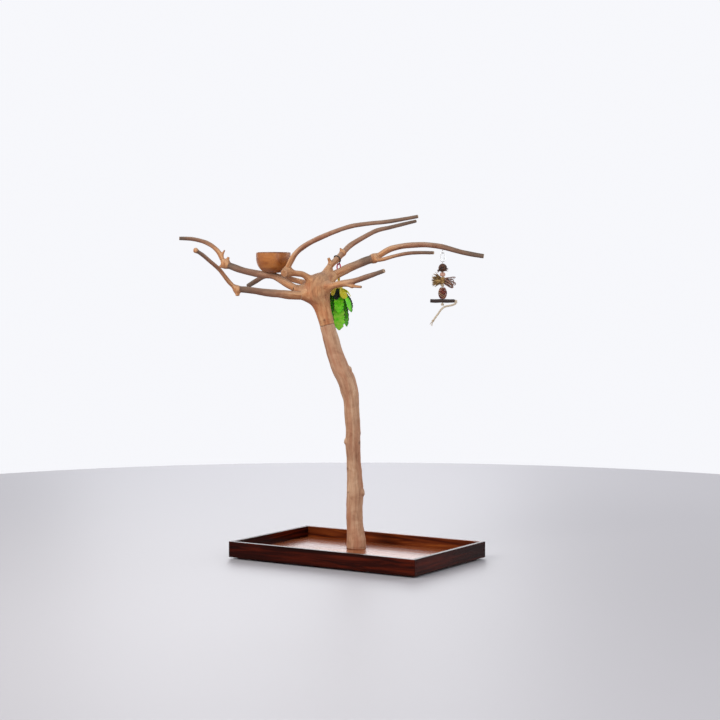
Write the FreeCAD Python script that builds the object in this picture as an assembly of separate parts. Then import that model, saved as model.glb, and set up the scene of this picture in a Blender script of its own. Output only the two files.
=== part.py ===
import FreeCAD, Part
import math
import os
from FreeCAD import Rotation, Vector

# A parrot play stand: a branching hardwood tree on a shallow lacquered tray, with a turned
# bowl and two hanging toys. Millimetres, +Z up. The origin is on the floor under the trunk's
# foot. +X runs along the tray's long side and +Y across it.

# Tray
TRAY_LENGTH = 914.0
TRAY_WIDTH = 584.0
TRAY_CENTRE_X = 67.0
TRAY_CENTRE_Y = -97.0
RAIL_HEIGHT = 66.0
RAIL_THICKNESS = 19.0
RAIL_LIFT = 8.0
CORNER_RADIUS = 3.0
TOP_EDGE_RADIUS = 1.6
PANEL_THICKNESS = 12.0
PANEL_RISE = 8.0
GROOVE_DEPTH = 7.0
GROOVE_CLEARANCE = 0.2
THROUGH = 400.0
KEY_LENGTH = 34.0
KEY_DEPTH = 13.0
KEY_THICKNESS = 4.0
KEY_CLEARANCE = 0.1
LOW_KEY_RISE = 12.0
HIGH_KEY_DROP = 14.0
BLOCK_LEG = 74.0
BLOCK_SCREW_RADIUS = 2.0
BLOCK_SCREW_HEAD_RADIUS = 4.0
BLOCK_SCREW_BITE = 9.0
BLOCK_SCREW_INSET = 13.0
BLOCK_SCREW_SPREAD = 44.0
GLIDE_RADIUS = 15.0
GLIDE_INSET = 21.0
NAIL_RADIUS = 1.5
NAIL_HEAD_RADIUS = 4.5
NAIL_HEAD_THICKNESS = 1.5
NAIL_RECESS = 3.0
NAIL_BITE = 6.0

# Foot of the trunk
PLATE_SIDE = 150.0
PLATE_THICKNESS = 4.0
PAD_RADIUS = 55.0
LAG_RADIUS = 4.0
LAG_CIRCLE_RADIUS = 25.0
LAG_BITE = 62.0
LAG_HEAD_RADIUS = 7.5
LAG_HEAD_HEIGHT = 5.0
WASHER_RADIUS = 9.0
WASHER_THICKNESS = 1.6
HEAD_WELL_CLEARANCE = 1.5
HOLE_CLEARANCE = 0.1

# Tree, in its own frame: x to the right of the trunk's foot, y away behind it, z up.
# TREE_TURN turns that frame about the trunk's foot onto the tray's.
TREE_TURN = 32.65
FOOT_RADIUS = 41.0
TRUNK_LINE = [
    (0, 0, 62, 41),
    (-5, 1, 125, 36),
    (-7, 3, 192, 35),
    (-4, 5, 257, 36.5),
    (-6, 6, 321, 33),
    (-10, 3, 407, 30.5),
    (-14, -2, 471, 31.5),
    (-13, -6, 536, 31),
    (-17, -8, 600, 32),
    (-21, -5, 665, 33),
    (-29, 0, 707, 38),
    (-42, 3, 750, 39),
    (-67, 3, 800, 37),
    (-88, 1, 857, 35.5),
    (-106, 0, 921, 33.5),
    (-124, 0, 985, 31),
]
CROWN_LINE = [
    (-124, 0, 985, 31),
    (-141, 0, 1049, 34),
    (-154, 0, 1088, 41),
    (-163, 0, 1116, 48),
    (-166, 1, 1143, 49),
    (-162, 1, 1166, 40),
    (-156, 2, 1180, 24),
]
CROWN_BOLT_RADIUS = 6.0
CROWN_BOLT_LENGTH = 130.0
CROWN_DOWEL_RADIUS = 5.0
CROWN_DOWEL_LENGTH = 64.0
CROWN_DOWEL_SPREAD = 19.0
THICK_BOLT_RADIUS = 4.0
THICK_BOLT_LENGTH = 50.0
THIN_BOLT_RADIUS = 2.5
THIN_BOLT_LENGTH = 36.0
NODE_SWELL = 0.07
LOFT_STEPS = 2

# Each socket: where its wood starts inside the parent, where the saw cut is, and the radii
# at both. The limb that it carries starts at the cut with the same radius and direction.
SOCKETS = {
    "left_rear_limb": ((-170, -8, 1122), (-262, 5, 1143), 32, 15.5),
    "left_front_limb": ((-172, 2, 1112), (-238, -29, 1112), 32, 19),
    "rear_limb": ((-175, 5, 1148), (-236, 50, 1170), 24, 11.5),
    "rear_right_limb": ((-146, 14, 1172), (-113, 50, 1237), 25, 13),
    "right_limb": ((-150, 5, 1146), (-92, 47, 1198), 33, 19),
    "front_right_limb": ((-150, -10, 1140), (-92, -40, 1155), 27, 14),
    "front_arch_limb": ((-294, -56, 1211), (-288, -62, 1230), 15, 11.5),
    "left_rear_perch": ((-563, 72, 1246), (-577, 73, 1267), 15, 10),
    "left_front_perch": ((-499, -130, 1138), (-517, -139, 1154), 13, 9),
    "right_perch": ((78, 90, 1271), (101, 91, 1284), 17, 12.5),
    "right_lower_perch": ((76, 88, 1266), (97, 69, 1263), 13, 8),
}
THICK_SOCKETS = ["left_rear_limb", "left_front_limb", "right_limb", "front_right_limb", "right_perch"]

# The points of each limb after its saw cut, with the radius at its far end.
LIMBS = {
    "left_rear_limb": (
        [(-300, 17, 1164), (-352, 36, 1195), (-403, 47, 1201), (-474, 60, 1215), (-521, 66, 1230),
         (-558, 71, 1244)],
        13.5,
    ),
    "left_front_limb": (
        [(-283, -50, 1114), (-328, -70, 1119), (-373, -90, 1123), (-417, -105, 1130), (-462, -120, 1136),
         (-496, -129, 1138)],
        12,
    ),
    "rear_limb": (
        [(-268, 78, 1178), (-304, 110, 1187), (-358, 150, 1197), (-402, 186, 1194), (-440, 213, 1174),
         (-477, 240, 1152)],
        10,
    ),
    "rear_right_limb": (
        [(-81, 88, 1269), (-58, 114, 1294), (-23, 146, 1330), (33, 185, 1365), (89, 222, 1395),
         (146, 258, 1410), (203, 295, 1425), (266, 330, 1441)],
        7,
    ),
    "right_limb": (
        [(-44, 65, 1223), (4, 78, 1244), (47, 88, 1262), (74, 90, 1271)],
        16.5,
    ),
    "front_right_limb": (
        [(-49, -70, 1164), (-5, -105, 1173), (43, -150, 1189), (85, -190, 1203), (117, -215, 1214)],
        8.5,
    ),
    "front_arch_limb": (
        [(-272, -76, 1261), (-254, -91, 1288), (-226, -110, 1312), (-188, -135, 1335), (-143, -160, 1355),
         (-88, -183, 1377), (-21, -205, 1398), (50, -230, 1408), (130, -255, 1415), (197, -275, 1425),
         (254, -290, 1435)],
        7,
    ),
    "left_rear_perch": (
        [(-591, 74, 1296), (-613, 74, 1319), (-638, 72, 1335), (-665, 70, 1345), (-707, 66, 1354),
         (-760, 60, 1356)],
        7.5,
    ),
    "left_front_perch": (
        [(-531, -148, 1169), (-549, -165, 1194), (-571, -180, 1223), (-601, -198, 1250), (-635, -215, 1280),
         (-662, -230, 1298)],
        7.5,
    ),
    "right_perch": (
        [(143, 88, 1309), (197, 80, 1323), (252, 68, 1328), (307, 55, 1328), (371, 40, 1319), (442, 30, 1299),
         (496, 24, 1287), (546, 20, 1279)],
        9.5,
    ),
    "right_lower_perch": (
        [(122, 52, 1268), (169, 30, 1281), (223, 0, 1291), (276, -30, 1293), (329, -55, 1292)],
        7,
    ),
}
# The front arch stands on a branch of the crown that was sawn off; its pale end shows.
ARCH_ROOT = [
    (-176, -8, 1152, 17),
    (-200, -24, 1182, 15),
    (-226, -38, 1200, 13),
    (-258, -48, 1205, 13),
    (-286, -54, 1209, 16),
]
SAWN_END = (-303, -78, 1204, 14)

# Knuckles where limbs were pruned or divide: the limb, the middle and the radius.
KNUCKLES = [
    ("left_rear_limb", (-561, 72, 1245), 20),
    ("left_front_limb", (-499, -130, 1137), 16),
    ("right_limb", (78, 90, 1271), 21),
    ("rear_right_limb", (-58, 114, 1294), 14),
    ("left_front_perch", (-662, -230, 1298), 10),
]
# Pruned spurs: the limb, the start inside it, the end, and the radii at both.
SPURS = [
    ("left_rear_limb", (-561, 70, 1250), (-548, 66, 1276), 9, 5.5),
    ("left_rear_limb", (-563, 74, 1240), (-589, 84, 1234), 10, 6),
    ("left_rear_perch", (-578, 73, 1284), (-565, 66, 1306), 6, 3),
    ("left_front_limb", (-497, -130, 1134), (-496, -134, 1110), 12, 8),
    ("rear_right_limb", (-107, 56, 1244), (-119, 48, 1272), 9, 6),
    ("rear_right_limb", (-57, 114, 1295), (-69, 106, 1315), 7, 3.5),
    ("front_right_limb", (-56, -67, 1161), (-14, -100, 1150), 9, 7),
    ("front_right_limb", (-19, -96, 1151), (22, -130, 1147), 6.5, 5.5),
    ("trunk", (-62, 2, 792), (-22, -8, 800), 16, 7),
    ("trunk", (-8, 4, 262), (33, -4, 268), 17, 10),
    ("trunk", (-14, -3, 480), (-49, -10, 488), 15, 8),
]

# Bowl
BOWL_CENTRE_X = -354.0
BOWL_CENTRE_Y = 37.0
BOWL_SEAT_Z = 1208.0
BOWL_RADIUS = 74.5
BOWL_HEIGHT = 88.0
BOWL_WALL = 6.5
BOWL_FOOT_RADIUS = 24.0
BOWL_FLAT_RADIUS = 21.6
BOWL_SIDE_SHARE = 0.72
BOWL_SEAT_CLEARANCE = 2.5
BOWL_SCREW_RADIUS = 2.5
BOWL_SCREW_BITE = 13.0
BOWL_SCREW_HEAD_RADIUS = 5.0
BOWL_SCREW_HEAD_HEIGHT = 3.0
BOWL_SCREW_CLEARANCE = 0.3
BOWL_WASHER_RADIUS = 11.0
BOWL_WASHER_THICKNESS = 1.5

# Natural toy, hung from the right perch
TOY_X = 371.0
TOY_Y = 40.0
LINK_GAP = 0.3
EYE_SHANK_BITE = 22.0
EYE_WIRE_RADIUS = 1.75
EYE_RADIUS = 7.25
EYE_DROP = 1.0
LINK_WIRE_RADIUS = 2.0
LINK_RADIUS = 8.5
LINK_STRAIGHT = 21.0
LINK_SLIT = 4.0
SLIT_HEIGHT = 5.0
SLEEVE_LENGTH = 9.0
SLEEVE_RADIUS = 4.0
SLEEVE_CLEARANCE = 0.3
BALL_EYE_WIRE_RADIUS = 1.3
BALL_EYE_RADIUS = 5.4
BALL_EYE_BITE = 12.0
TOP_BALL_RADIUS = 19.0
TOY_CORD_RADIUS = 2.0
TOY_CORD_SOCKET = 12.0
BEAD_RADIUS = 12.0
BEAD_FLAT = 9.5
SPIN_CLEARANCE = 0.4
BOW_WAIST_RADIUS = 8.0
BOW_WAIST_LENGTH = 30.0
BOW_LEFT = (-43, 0, 7)
BOW_RIGHT = (51, 0, -12)
BOW_LEFT_SIZE = (28, 16)
BOW_RIGHT_SIZE = (22, 16)
# How far along each wing, and how wide there as a share of its size
BOW_SPREADS = [(0.0, 0.28), (0.35, 0.44), (0.8, 1.0), (1.0, 0.86)]
MIDDLE_KNOT_RADIUS = 7.5
WICKER_RADIUS = 18.5
WICKER_LENGTH = 50.0
# How far from the middle of the wicker ball, and how wide there
WICKER_SPREADS = [(-1.0, 0.45), (-0.72, 0.76), (-0.3, 0.96), (0.3, 0.96), (0.72, 0.76), (1.0, 0.45)]
CORD_KNOT_RADIUS = 7.0
CORD_END_RISE = 5.6
STICK_RADIUS = 7.8
STICK_LEFT = 53.0
STICK_RIGHT = 52.0
END_KNOT_RADIUS = 8.0
END_KNOT_OUT = 4.4
END_KNOT_DROP = 2.0
TAIL_RADIUS = 4.2
TAIL_KNOT_RADIUS = 8.5
TAIL_KNOT_OUT = 6.4
STACK_GAP = 0.4
TAIL_POINTS = [
    (427, 40, 1076), (416, 36, 1070), (398, 30, 1067), (377, 26, 1063), (363, 27, 1050), (352, 31, 1033),
    (341, 36, 1018), (333, 40, 1006),
]

# Coloured toy, hung from the rear right limb
HANGER_WIRE_RADIUS = 2.5
HANGER_SLACK = 0.5
HANGER_EYE_RADIUS = 5.8
HANGER_EYE_WIRE_RADIUS = 1.5
RING_RADIUS = 15.0
RING_TUBE_RADIUS = 3.0
RING_FACING = 60.0
STRAP_WIDTH = 9.0
STRAP_THICKNESS = 2.2
STRAP_LENGTH = 66.0
STRAP_SEAM = 0.5
CAP_RADIUS = 17.0
CAP_HEIGHT = 11.0
CAP_TOP_RADIUS = 7.6
CAP_SHOULDER = 5.5
LEAF_THICKNESS = 2.6
# One side of a leaf, from the cap down: shares of its half width and of its length
LEAF_SIDE = [(0.12, 0.0), (0.55, 0.32), (1.0, 0.66), (0.64, 0.88)]
CORE_ROOT_RADIUS = -LEAF_THICKNESS / 2
INNER_ROOT_RADIUS = 4.0
GREEN_ROOT_RADIUS = 7.1
DARK_ROOT_RADIUS = 10.8
YELLOW_ROOT_RADIUS = 14.5
# Leaves: the direction that each faces, seen from above, its lean, its length and its width
CORE_LEAVES = [
    (-90, 0, 165, 46),
]
INNER_LEAVES = [
    (-90, 12, 185, 56),
    (30, 12, 170, 54),
    (150, 12, 178, 54),
]
GREEN_LEAVES = [
    (-90, 28, 120, 48),
    (-30, 28, 112, 46),
    (30, 28, 118, 46),
    (90, 28, 110, 46),
    (150, 28, 114, 46),
    (210, 28, 122, 48),
]
DARK_LEAVES = [
    (25, 33, 100, 44),
    (85, 33, 96, 40),
    (145, 33, 92, 38),
    (200, 33, 95, 36),
    (255, 33, 60, 32),
]
YELLOW_LEAVES = [
    (-65, 46, 66, 34),
    (-5, 46, 52, 24),
    (55, 46, 50, 24),
    (115, 46, 50, 24),
    (175, 46, 48, 22),
    (235, 46, 46, 22),
]

# Heights and places that follow from the sizes above
UP = Vector(0, 0, 1)
SEAM_SIDE = Vector(0.3, 0.9, 0.2)
KNUCKLE_TILT = Vector(0.2, 0.4, 1).normalize()
RAIL_TOP = RAIL_LIFT + RAIL_HEIGHT
PANEL_BOTTOM = RAIL_LIFT + PANEL_RISE
PANEL_TOP = PANEL_BOTTOM + PANEL_THICKNESS
PLATE_BOTTOM = PANEL_BOTTOM - PLATE_THICKNESS
TRAY_CENTRE = Vector(TRAY_CENTRE_X, TRAY_CENTRE_Y, 0)


def vector(point):
    return Vector(point[0], point[1], point[2])


def box(centre, length, width, bottom, top):
    corner = Vector(centre.x - length / 2, centre.y - width / 2, bottom)
    return Part.makeBox(length, width, top - bottom, corner)


def rod(start, end, radius):
    run = end - start
    return Part.makeCylinder(radius, run.Length, start, run)


def frustum(start, end, start_radius, end_radius):
    run = end - start
    return Part.makeCone(start_radius, end_radius, run.Length, start, run)


def revolved(outline, centre):
    """A solid turned about a vertical line; the outline is (radius, height) points, from the axis to it."""
    corners = [Vector(radius, 0, height) for radius, height in outline]
    face = Part.Face(Part.makePolygon(corners + [corners[0]]))
    solid = face.revolve(Vector(0, 0, 0), UP, 360)
    solid.translate(centre)
    return solid


def section(centre, direction, side, radius):
    """A circle square to the direction, with its seam towards the side."""
    circle = Part.makeCircle(radius)
    turn = Rotation(side, direction.cross(side), direction, "ZXY")
    circle.Placement = FreeCAD.Placement(centre, turn)
    return Part.Wire(circle)


def directions(points, first=None):
    found = []
    for i in range(len(points)):
        before = points[max(i - 1, 0)]
        after = points[min(i + 1, len(points) - 1)]
        found.append((after - before).normalize())
    if first:
        found[0] = first
    return found


def between(before, start, end, after, share):
    """A place between start and end on the smooth curve that also passes through before and after."""
    low = (end - before) * 0.5
    high = (after - start) * 0.5
    cubic = start * 2 - end * 2 + low + high
    square = end * 3 - start * 3 - low * 2 - high
    return start + low * share + square * share**2 + cubic * share**3


def refined(points, radii, first=None):
    """The points and radii with LOFT_STEPS steps of a smooth curve in each stretch."""
    spots = []
    sizes = []
    for i in range(len(points) - 1):
        start = points[i]
        end = points[i + 1]
        before = points[i - 1] if i else (end - first * 2 * (end - start).Length if first else start)
        after = points[min(i + 2, len(points) - 1)]
        for step in range(LOFT_STEPS):
            share = step / LOFT_STEPS
            spots.append(between(before, start, end, after, share))
            sizes.append(radii[i] + (radii[i + 1] - radii[i]) * share)
    return spots + [points[-1]], sizes + [radii[-1]]


def limb_solid(points, radii, first=None, last=None):
    """A round limb through the points: square to its line at both ends, with its seam kept straight."""
    spots, sizes = refined(points, radii, first)
    along = directions(spots, first)
    if last:
        along[-1] = last
    side = along[0].cross(SEAM_SIDE).normalize()
    wires = []
    for spot, direction, radius in zip(spots, along, sizes):
        side = (side - direction * side.dot(direction)).normalize()
        wires.append(section(spot, direction, side, radius))
    return Part.makeLoft(wires, True, True)


def tapered(points, root, tip):
    """Radii from root to tip along the points, a little fuller at every second one."""
    lengths = [0.0]
    for before, after in zip(points, points[1:]):
        lengths.append(lengths[-1] + (after - before).Length)
    radii = []
    for i, length in enumerate(lengths):
        radius = root + (tip - root) * length / lengths[-1]
        inner = 0 < i < len(points) - 1
        radii.append(radius * (1 + NODE_SWELL * (i % 2)) if inner else radius)
    return radii


def socket_direction(name):
    start, cut, _, _ = SOCKETS[name]
    return (vector(cut) - vector(start)).normalize()


def socket_stub(name):
    start, cut, start_radius, cut_radius = SOCKETS[name]
    return frustum(vector(start), vector(cut), start_radius, cut_radius)


def bolt_size(name):
    if name in THICK_SOCKETS:
        return THICK_BOLT_RADIUS, THICK_BOLT_LENGTH
    return THIN_BOLT_RADIUS, THIN_BOLT_LENGTH


def socket_bolt(name, clearance=0.0):
    radius, length = bolt_size(name)
    middle = vector(SOCKETS[name][1])
    half = socket_direction(name) * (length / 2 + clearance)
    return rod(middle - half, middle + half, radius + clearance)


def fused(first, others):
    return first.fuse(others).removeSplitter() if others else first


def less(solid, tools):
    """The solid without each tool, one after another, because tools may meet each other."""
    for tool in tools:
        solid = solid.cut(tool)
    return solid


def spurs_of(name):
    chosen = [spur[1:] for spur in SPURS if spur[0] == name]
    return [frustum(vector(start), vector(end), r1, r2) for start, end, r1, r2 in chosen]


def knuckle(middle, radius, direction):
    """A rounded swelling on a limb: circles of latitude, joined by straight sides."""
    side = direction.cross(SEAM_SIDE).normalize()
    wires = []
    for degrees in range(-75, 76, 25):
        angle = math.radians(degrees)
        place = middle + direction * (radius * math.sin(angle))
        wires.append(section(place, direction, side, radius * math.cos(angle)))
    return Part.makeLoft(wires, True, True)


def knuckles_of(name):
    chosen = [(vector(middle), radius) for limb, middle, radius in KNUCKLES if limb == name]
    return [knuckle(middle, radius, KNUCKLE_TILT) for middle, radius in chosen]


def limb_line(name):
    """The points of one limb from its saw cut on, and its radius at each."""
    points, tip_radius = LIMBS[name]
    line = [vector(SOCKETS[name][1])] + [vector(point) for point in points]
    return line, tapered(line, SOCKETS[name][3], tip_radius)


def limb(name, sockets=()):
    """One limb with its knuckles, spurs and the sockets of what it carries, drilled for its bolts."""
    line, radii = limb_line(name)
    solid = limb_solid(line, radii, socket_direction(name))
    stubs = [socket_stub(socket) for socket in sockets]
    solid = fused(solid, knuckles_of(name) + spurs_of(name) + stubs)
    return less(solid, [socket_bolt(socket, HOLE_CLEARANCE) for socket in [name, *sockets]])


# Tray


def tray_ring():
    """The frame of the tray in one piece, before it is mitred: grooved inside, rounded outside."""
    outer = box(TRAY_CENTRE, TRAY_LENGTH, TRAY_WIDTH, RAIL_LIFT, RAIL_TOP)
    upright = [edge for edge in outer.Edges if edge.tangentAt(edge.FirstParameter).cross(UP).Length < 0.01]
    outer = outer.makeFillet(CORNER_RADIUS, upright)
    inside_length = TRAY_LENGTH - 2 * RAIL_THICKNESS
    inside_width = TRAY_WIDTH - 2 * RAIL_THICKNESS
    ring = outer.cut(box(TRAY_CENTRE, inside_length, inside_width, RAIL_LIFT, RAIL_TOP))
    top = [edge for edge in ring.Edges if edge.BoundBox.ZMin > RAIL_TOP - 0.01]
    ring = ring.makeFillet(TOP_EDGE_RADIUS, top)
    groove = box(
        TRAY_CENTRE,
        inside_length + 2 * GROOVE_DEPTH,
        inside_width + 2 * GROOVE_DEPTH,
        PANEL_BOTTOM,
        PANEL_TOP,
    )
    return ring.cut(groove)


def corner(side_x, side_y, inset=0.0, height=0.0):
    """A point on the mitre of one corner, inset equally from both outer faces."""
    x = TRAY_CENTRE_X + side_x * (TRAY_LENGTH / 2 - inset)
    y = TRAY_CENTRE_Y + side_y * (TRAY_WIDTH / 2 - inset)
    return Vector(x, y, height)


def mitre_wedge(first, second):
    """The space of one rail between the mitres at two corners, given as pairs of sides."""
    inset = RAIL_THICKNESS
    outline = [corner(*first), corner(*second), corner(*second, inset), corner(*first, inset)]
    outline = [point + Vector(0, 0, RAIL_LIFT) for point in outline]
    face = Part.Face(Part.makePolygon(outline + [outline[0]]))
    return face.extrude(Vector(0, 0, RAIL_HEIGHT))


CORNERS = [(-1, -1), (1, -1), (1, 1), (-1, 1)]
SIDES = {
    "front_rail": ((-1, -1), (1, -1)),
    "right_rail": ((1, -1), (1, 1)),
    "back_rail": ((1, 1), (-1, 1)),
    "left_rail": ((-1, 1), (-1, -1)),
}
KEY_HEIGHTS = [PANEL_TOP + LOW_KEY_RISE, RAIL_TOP - HIGH_KEY_DROP]


def mitre_key(side_x, side_y, height, clearance=0.0):
    """A flat key across one mitre, in the thickness of the rails."""
    centre = corner(side_x, side_y, RAIL_THICKNESS / 2, height)
    length = KEY_LENGTH / math.sqrt(2) + 2 * clearance
    depth = KEY_DEPTH / math.sqrt(2) + 2 * clearance
    half = KEY_THICKNESS / 2 + clearance
    key = box(Vector(0, 0, 0), length, depth, -half, half)
    key.rotate(Vector(0, 0, 0), UP, -45 * side_x * side_y)
    key.translate(centre)
    return key


def rails():
    ring = tray_ring()
    slots = [mitre_key(x, y, z, KEY_CLEARANCE) for x, y in CORNERS for z in KEY_HEIGHTS]
    return {name: ring.common(mitre_wedge(*ends)).cut(slots) for name, ends in SIDES.items()}


def mitre_keys():
    return [mitre_key(x, y, z) for x, y in CORNERS for z in KEY_HEIGHTS]


def base_panel():
    reach = GROOVE_DEPTH - GROOVE_CLEARANCE
    length = TRAY_LENGTH - 2 * (RAIL_THICKNESS - reach)
    width = TRAY_WIDTH - 2 * (RAIL_THICKNESS - reach)
    panel = box(TRAY_CENTRE, length, width, PANEL_BOTTOM, PANEL_TOP)
    holes = [lag_hole(point) for point in lag_places()]
    holes += [block_screw(x, y, which, HOLE_CLEARANCE) for x, y in CORNERS for which in (0, 1)]
    return panel.cut(holes)


def block_screw_place(side_x, side_y, which):
    """One screw near each end of the block's long side."""
    place = corner(side_x, side_y, RAIL_THICKNESS + BLOCK_SCREW_INSET, RAIL_LIFT)
    if which:
        return place - Vector(side_x * BLOCK_SCREW_SPREAD, 0, 0)
    return place - Vector(0, side_y * BLOCK_SCREW_SPREAD, 0)


def block_screw(side_x, side_y, which, clearance=0.0):
    """A countersunk screw up through a corner block into the panel."""
    start = block_screw_place(side_x, side_y, which)
    tip = start + UP * (PANEL_RISE + BLOCK_SCREW_BITE + clearance)
    shank = rod(start, tip, BLOCK_SCREW_RADIUS + clearance)
    head_height = BLOCK_SCREW_HEAD_RADIUS - BLOCK_SCREW_RADIUS
    head_radius = BLOCK_SCREW_HEAD_RADIUS + clearance
    head = frustum(start, start + UP * head_height, head_radius, BLOCK_SCREW_RADIUS + clearance)
    return shank.fuse(head)


def corner_block(side_x, side_y):
    """A triangular block under the panel, against both rails."""
    root = corner(side_x, side_y, RAIL_THICKNESS, RAIL_LIFT)
    along_x = root + Vector(-side_x * BLOCK_LEG, 0, 0)
    along_y = root + Vector(0, -side_y * BLOCK_LEG, 0)
    face = Part.Face(Part.makePolygon([root, along_x, along_y, root]))
    block = face.extrude(Vector(0, 0, PANEL_RISE))
    holes = [block_screw(side_x, side_y, which, HOLE_CLEARANCE) for which in (0, 1)]
    return less(block, holes + [glide_nail(side_x, side_y, HOLE_CLEARANCE)])


def glide_place(side_x, side_y):
    return corner(side_x, side_y, RAIL_THICKNESS + GLIDE_INSET)


def glide_nail(side_x, side_y, clearance=0.0):
    start = glide_place(side_x, side_y) + UP * (NAIL_RECESS - clearance)
    top = RAIL_LIFT + NAIL_BITE + clearance
    head = rod(start, start + UP * (NAIL_HEAD_THICKNESS + clearance), NAIL_HEAD_RADIUS + clearance)
    shank = rod(start, Vector(start.x, start.y, top), NAIL_RADIUS + clearance)
    return head.fuse(shank)


def glide(side_x, side_y):
    """A round plastic glide between a corner block and the floor, recessed for its nail."""
    foot = glide_place(side_x, side_y)
    disc = rod(foot, foot + UP * RAIL_LIFT, GLIDE_RADIUS)
    recess = rod(foot, foot + UP * NAIL_RECESS, NAIL_HEAD_RADIUS + HOLE_CLEARANCE)
    return less(disc, [recess, glide_nail(side_x, side_y, HOLE_CLEARANCE)])


# Foot of the trunk


def lag_places():
    places = []
    for i in range(4):
        angle = math.radians(45 + 90 * i)
        places.append(Vector(LAG_CIRCLE_RADIUS * math.cos(angle), LAG_CIRCLE_RADIUS * math.sin(angle), 0))
    return places


def lag_hole(place):
    return rod(place, place + UP * (PANEL_TOP + LAG_BITE + HOLE_CLEARANCE), LAG_RADIUS + HOLE_CLEARANCE)


def anchor_plate():
    plate = box(Vector(0, 0, 0), PLATE_SIDE, PLATE_SIDE, PLATE_BOTTOM, PANEL_BOTTOM)
    return plate.cut([lag_hole(point) for point in lag_places()])


def trunk_pad():
    """The rubber pad that carries the trunk's weight to the floor, with a well round each screw head."""
    pad = Part.makeCylinder(PAD_RADIUS, PLATE_BOTTOM)
    wells = [rod(point, point + UP * THROUGH, WASHER_RADIUS + HEAD_WELL_CLEARANCE) for point in lag_places()]
    return pad.cut(wells)


def lag_screw(place):
    seat = PLATE_BOTTOM - WASHER_THICKNESS
    head = Part.makeCylinder(LAG_HEAD_RADIUS, LAG_HEAD_HEIGHT, place + UP * (seat - LAG_HEAD_HEIGHT))
    return head.fuse(rod(place + UP * seat, place + UP * (PANEL_TOP + LAG_BITE), LAG_RADIUS))


def lag_washer(place):
    bottom = PLATE_BOTTOM - WASHER_THICKNESS
    disc = rod(place + UP * bottom, place + UP * PLATE_BOTTOM, WASHER_RADIUS)
    return disc.cut(lag_hole(place))


# Tree


def crown_axis():
    """Where the trunk and the crown meet, and the direction up through the cut."""
    below = vector(TRUNK_LINE[-2])
    above = vector(CROWN_LINE[1])
    return vector(CROWN_LINE[0]), (above - below).normalize()


def crown_fastener(offset, radius, length, clearance=0.0):
    middle, up = crown_axis()
    side = up.cross(Vector(0, 1, 0)).normalize()
    middle = middle + side * offset
    half = up * (length / 2 + clearance)
    return rod(middle - half, middle + half, radius + clearance)


def crown_fasteners(clearance=0.0):
    bolt = crown_fastener(0, CROWN_BOLT_RADIUS, CROWN_BOLT_LENGTH, clearance)
    spread = CROWN_DOWEL_SPREAD
    dowels = [crown_fastener(s * spread, CROWN_DOWEL_RADIUS, CROWN_DOWEL_LENGTH, clearance) for s in (-1, 1)]
    return [bolt, *dowels]


def trunk():
    line = [Vector(0, 0, PANEL_TOP)] + [vector(point) for point in TRUNK_LINE]
    radii = [FOOT_RADIUS] + [point[3] for point in TRUNK_LINE]
    solid = fused(limb_solid(line, radii, UP, crown_axis()[1]), spurs_of("trunk"))
    holes = [lag_hole(point) for point in turned_lags()]
    return less(solid, holes + crown_fasteners(HOLE_CLEARANCE))


def turned_lags():
    """The lag screws' places in the tree's own frame."""
    turn = Rotation(UP, -TREE_TURN)
    return [turn.multVec(place) for place in lag_places()]


def crown():
    """The burl at the top of the trunk, with a socket for each main limb and the arch's sawn root."""
    line = [vector(point) for point in CROWN_LINE]
    core = limb_solid(line, [point[3] for point in CROWN_LINE], crown_axis()[1])
    root_line = [vector(point) for point in ARCH_ROOT] + [vector(SAWN_END)]
    root = limb_solid(root_line, [point[3] for point in ARCH_ROOT] + [SAWN_END[3]])
    names = [name for name in SOCKETS if name.endswith("_limb")]
    solid = fused(core, [root] + [socket_stub(name) for name in names])
    holes = [socket_bolt(name, HOLE_CLEARANCE) for name in names]
    return less(solid, holes + crown_fasteners(HOLE_CLEARANCE))


def left_rear_limb():
    """The limb under the bowl: a flat seat is cut across it and drilled for the bowl's screw."""
    centre = Vector(BOWL_CENTRE_X, BOWL_CENTRE_Y, BOWL_SEAT_Z)
    seat = Part.makeCylinder(BOWL_FOOT_RADIUS + BOWL_SEAT_CLEARANCE, BOWL_HEIGHT)
    seat = seat.fuse(bowl_half(BOWL_RADIUS + BOWL_SEAT_CLEARANCE, BOWL_HEIGHT, 0.0))
    seat.translate(centre)
    pilot = rod(centre - UP * (BOWL_SCREW_BITE + HOLE_CLEARANCE), centre, BOWL_SCREW_RADIUS + HOLE_CLEARANCE)
    return less(limb("left_rear_limb", ["left_rear_perch"]), [seat, pilot])


def right_perch():
    top, bottom = eye_shank_ends()
    pilot = rod(bottom, top + UP * HOLE_CLEARANCE, EYE_WIRE_RADIUS + HOLE_CLEARANCE)
    return limb("right_perch").cut(pilot)


# Bowl


def bowl():
    """A turned bowl with a small foot and a rounded wall."""
    base = Vector(BOWL_CENTRE_X, BOWL_CENTRE_Y, BOWL_SEAT_Z)
    outer = bowl_half(BOWL_RADIUS, BOWL_HEIGHT, 0.0)
    inner = bowl_half(BOWL_RADIUS - BOWL_WALL, BOWL_HEIGHT, BOWL_WALL)
    foot = Part.makeCylinder(BOWL_FOOT_RADIUS, BOWL_WALL)
    solid = outer.fuse(foot).cut(inner)
    solid.translate(base)
    return solid.cut(rod(base, base + UP * BOWL_HEIGHT, BOWL_SCREW_RADIUS + BOWL_SCREW_CLEARANCE))


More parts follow.
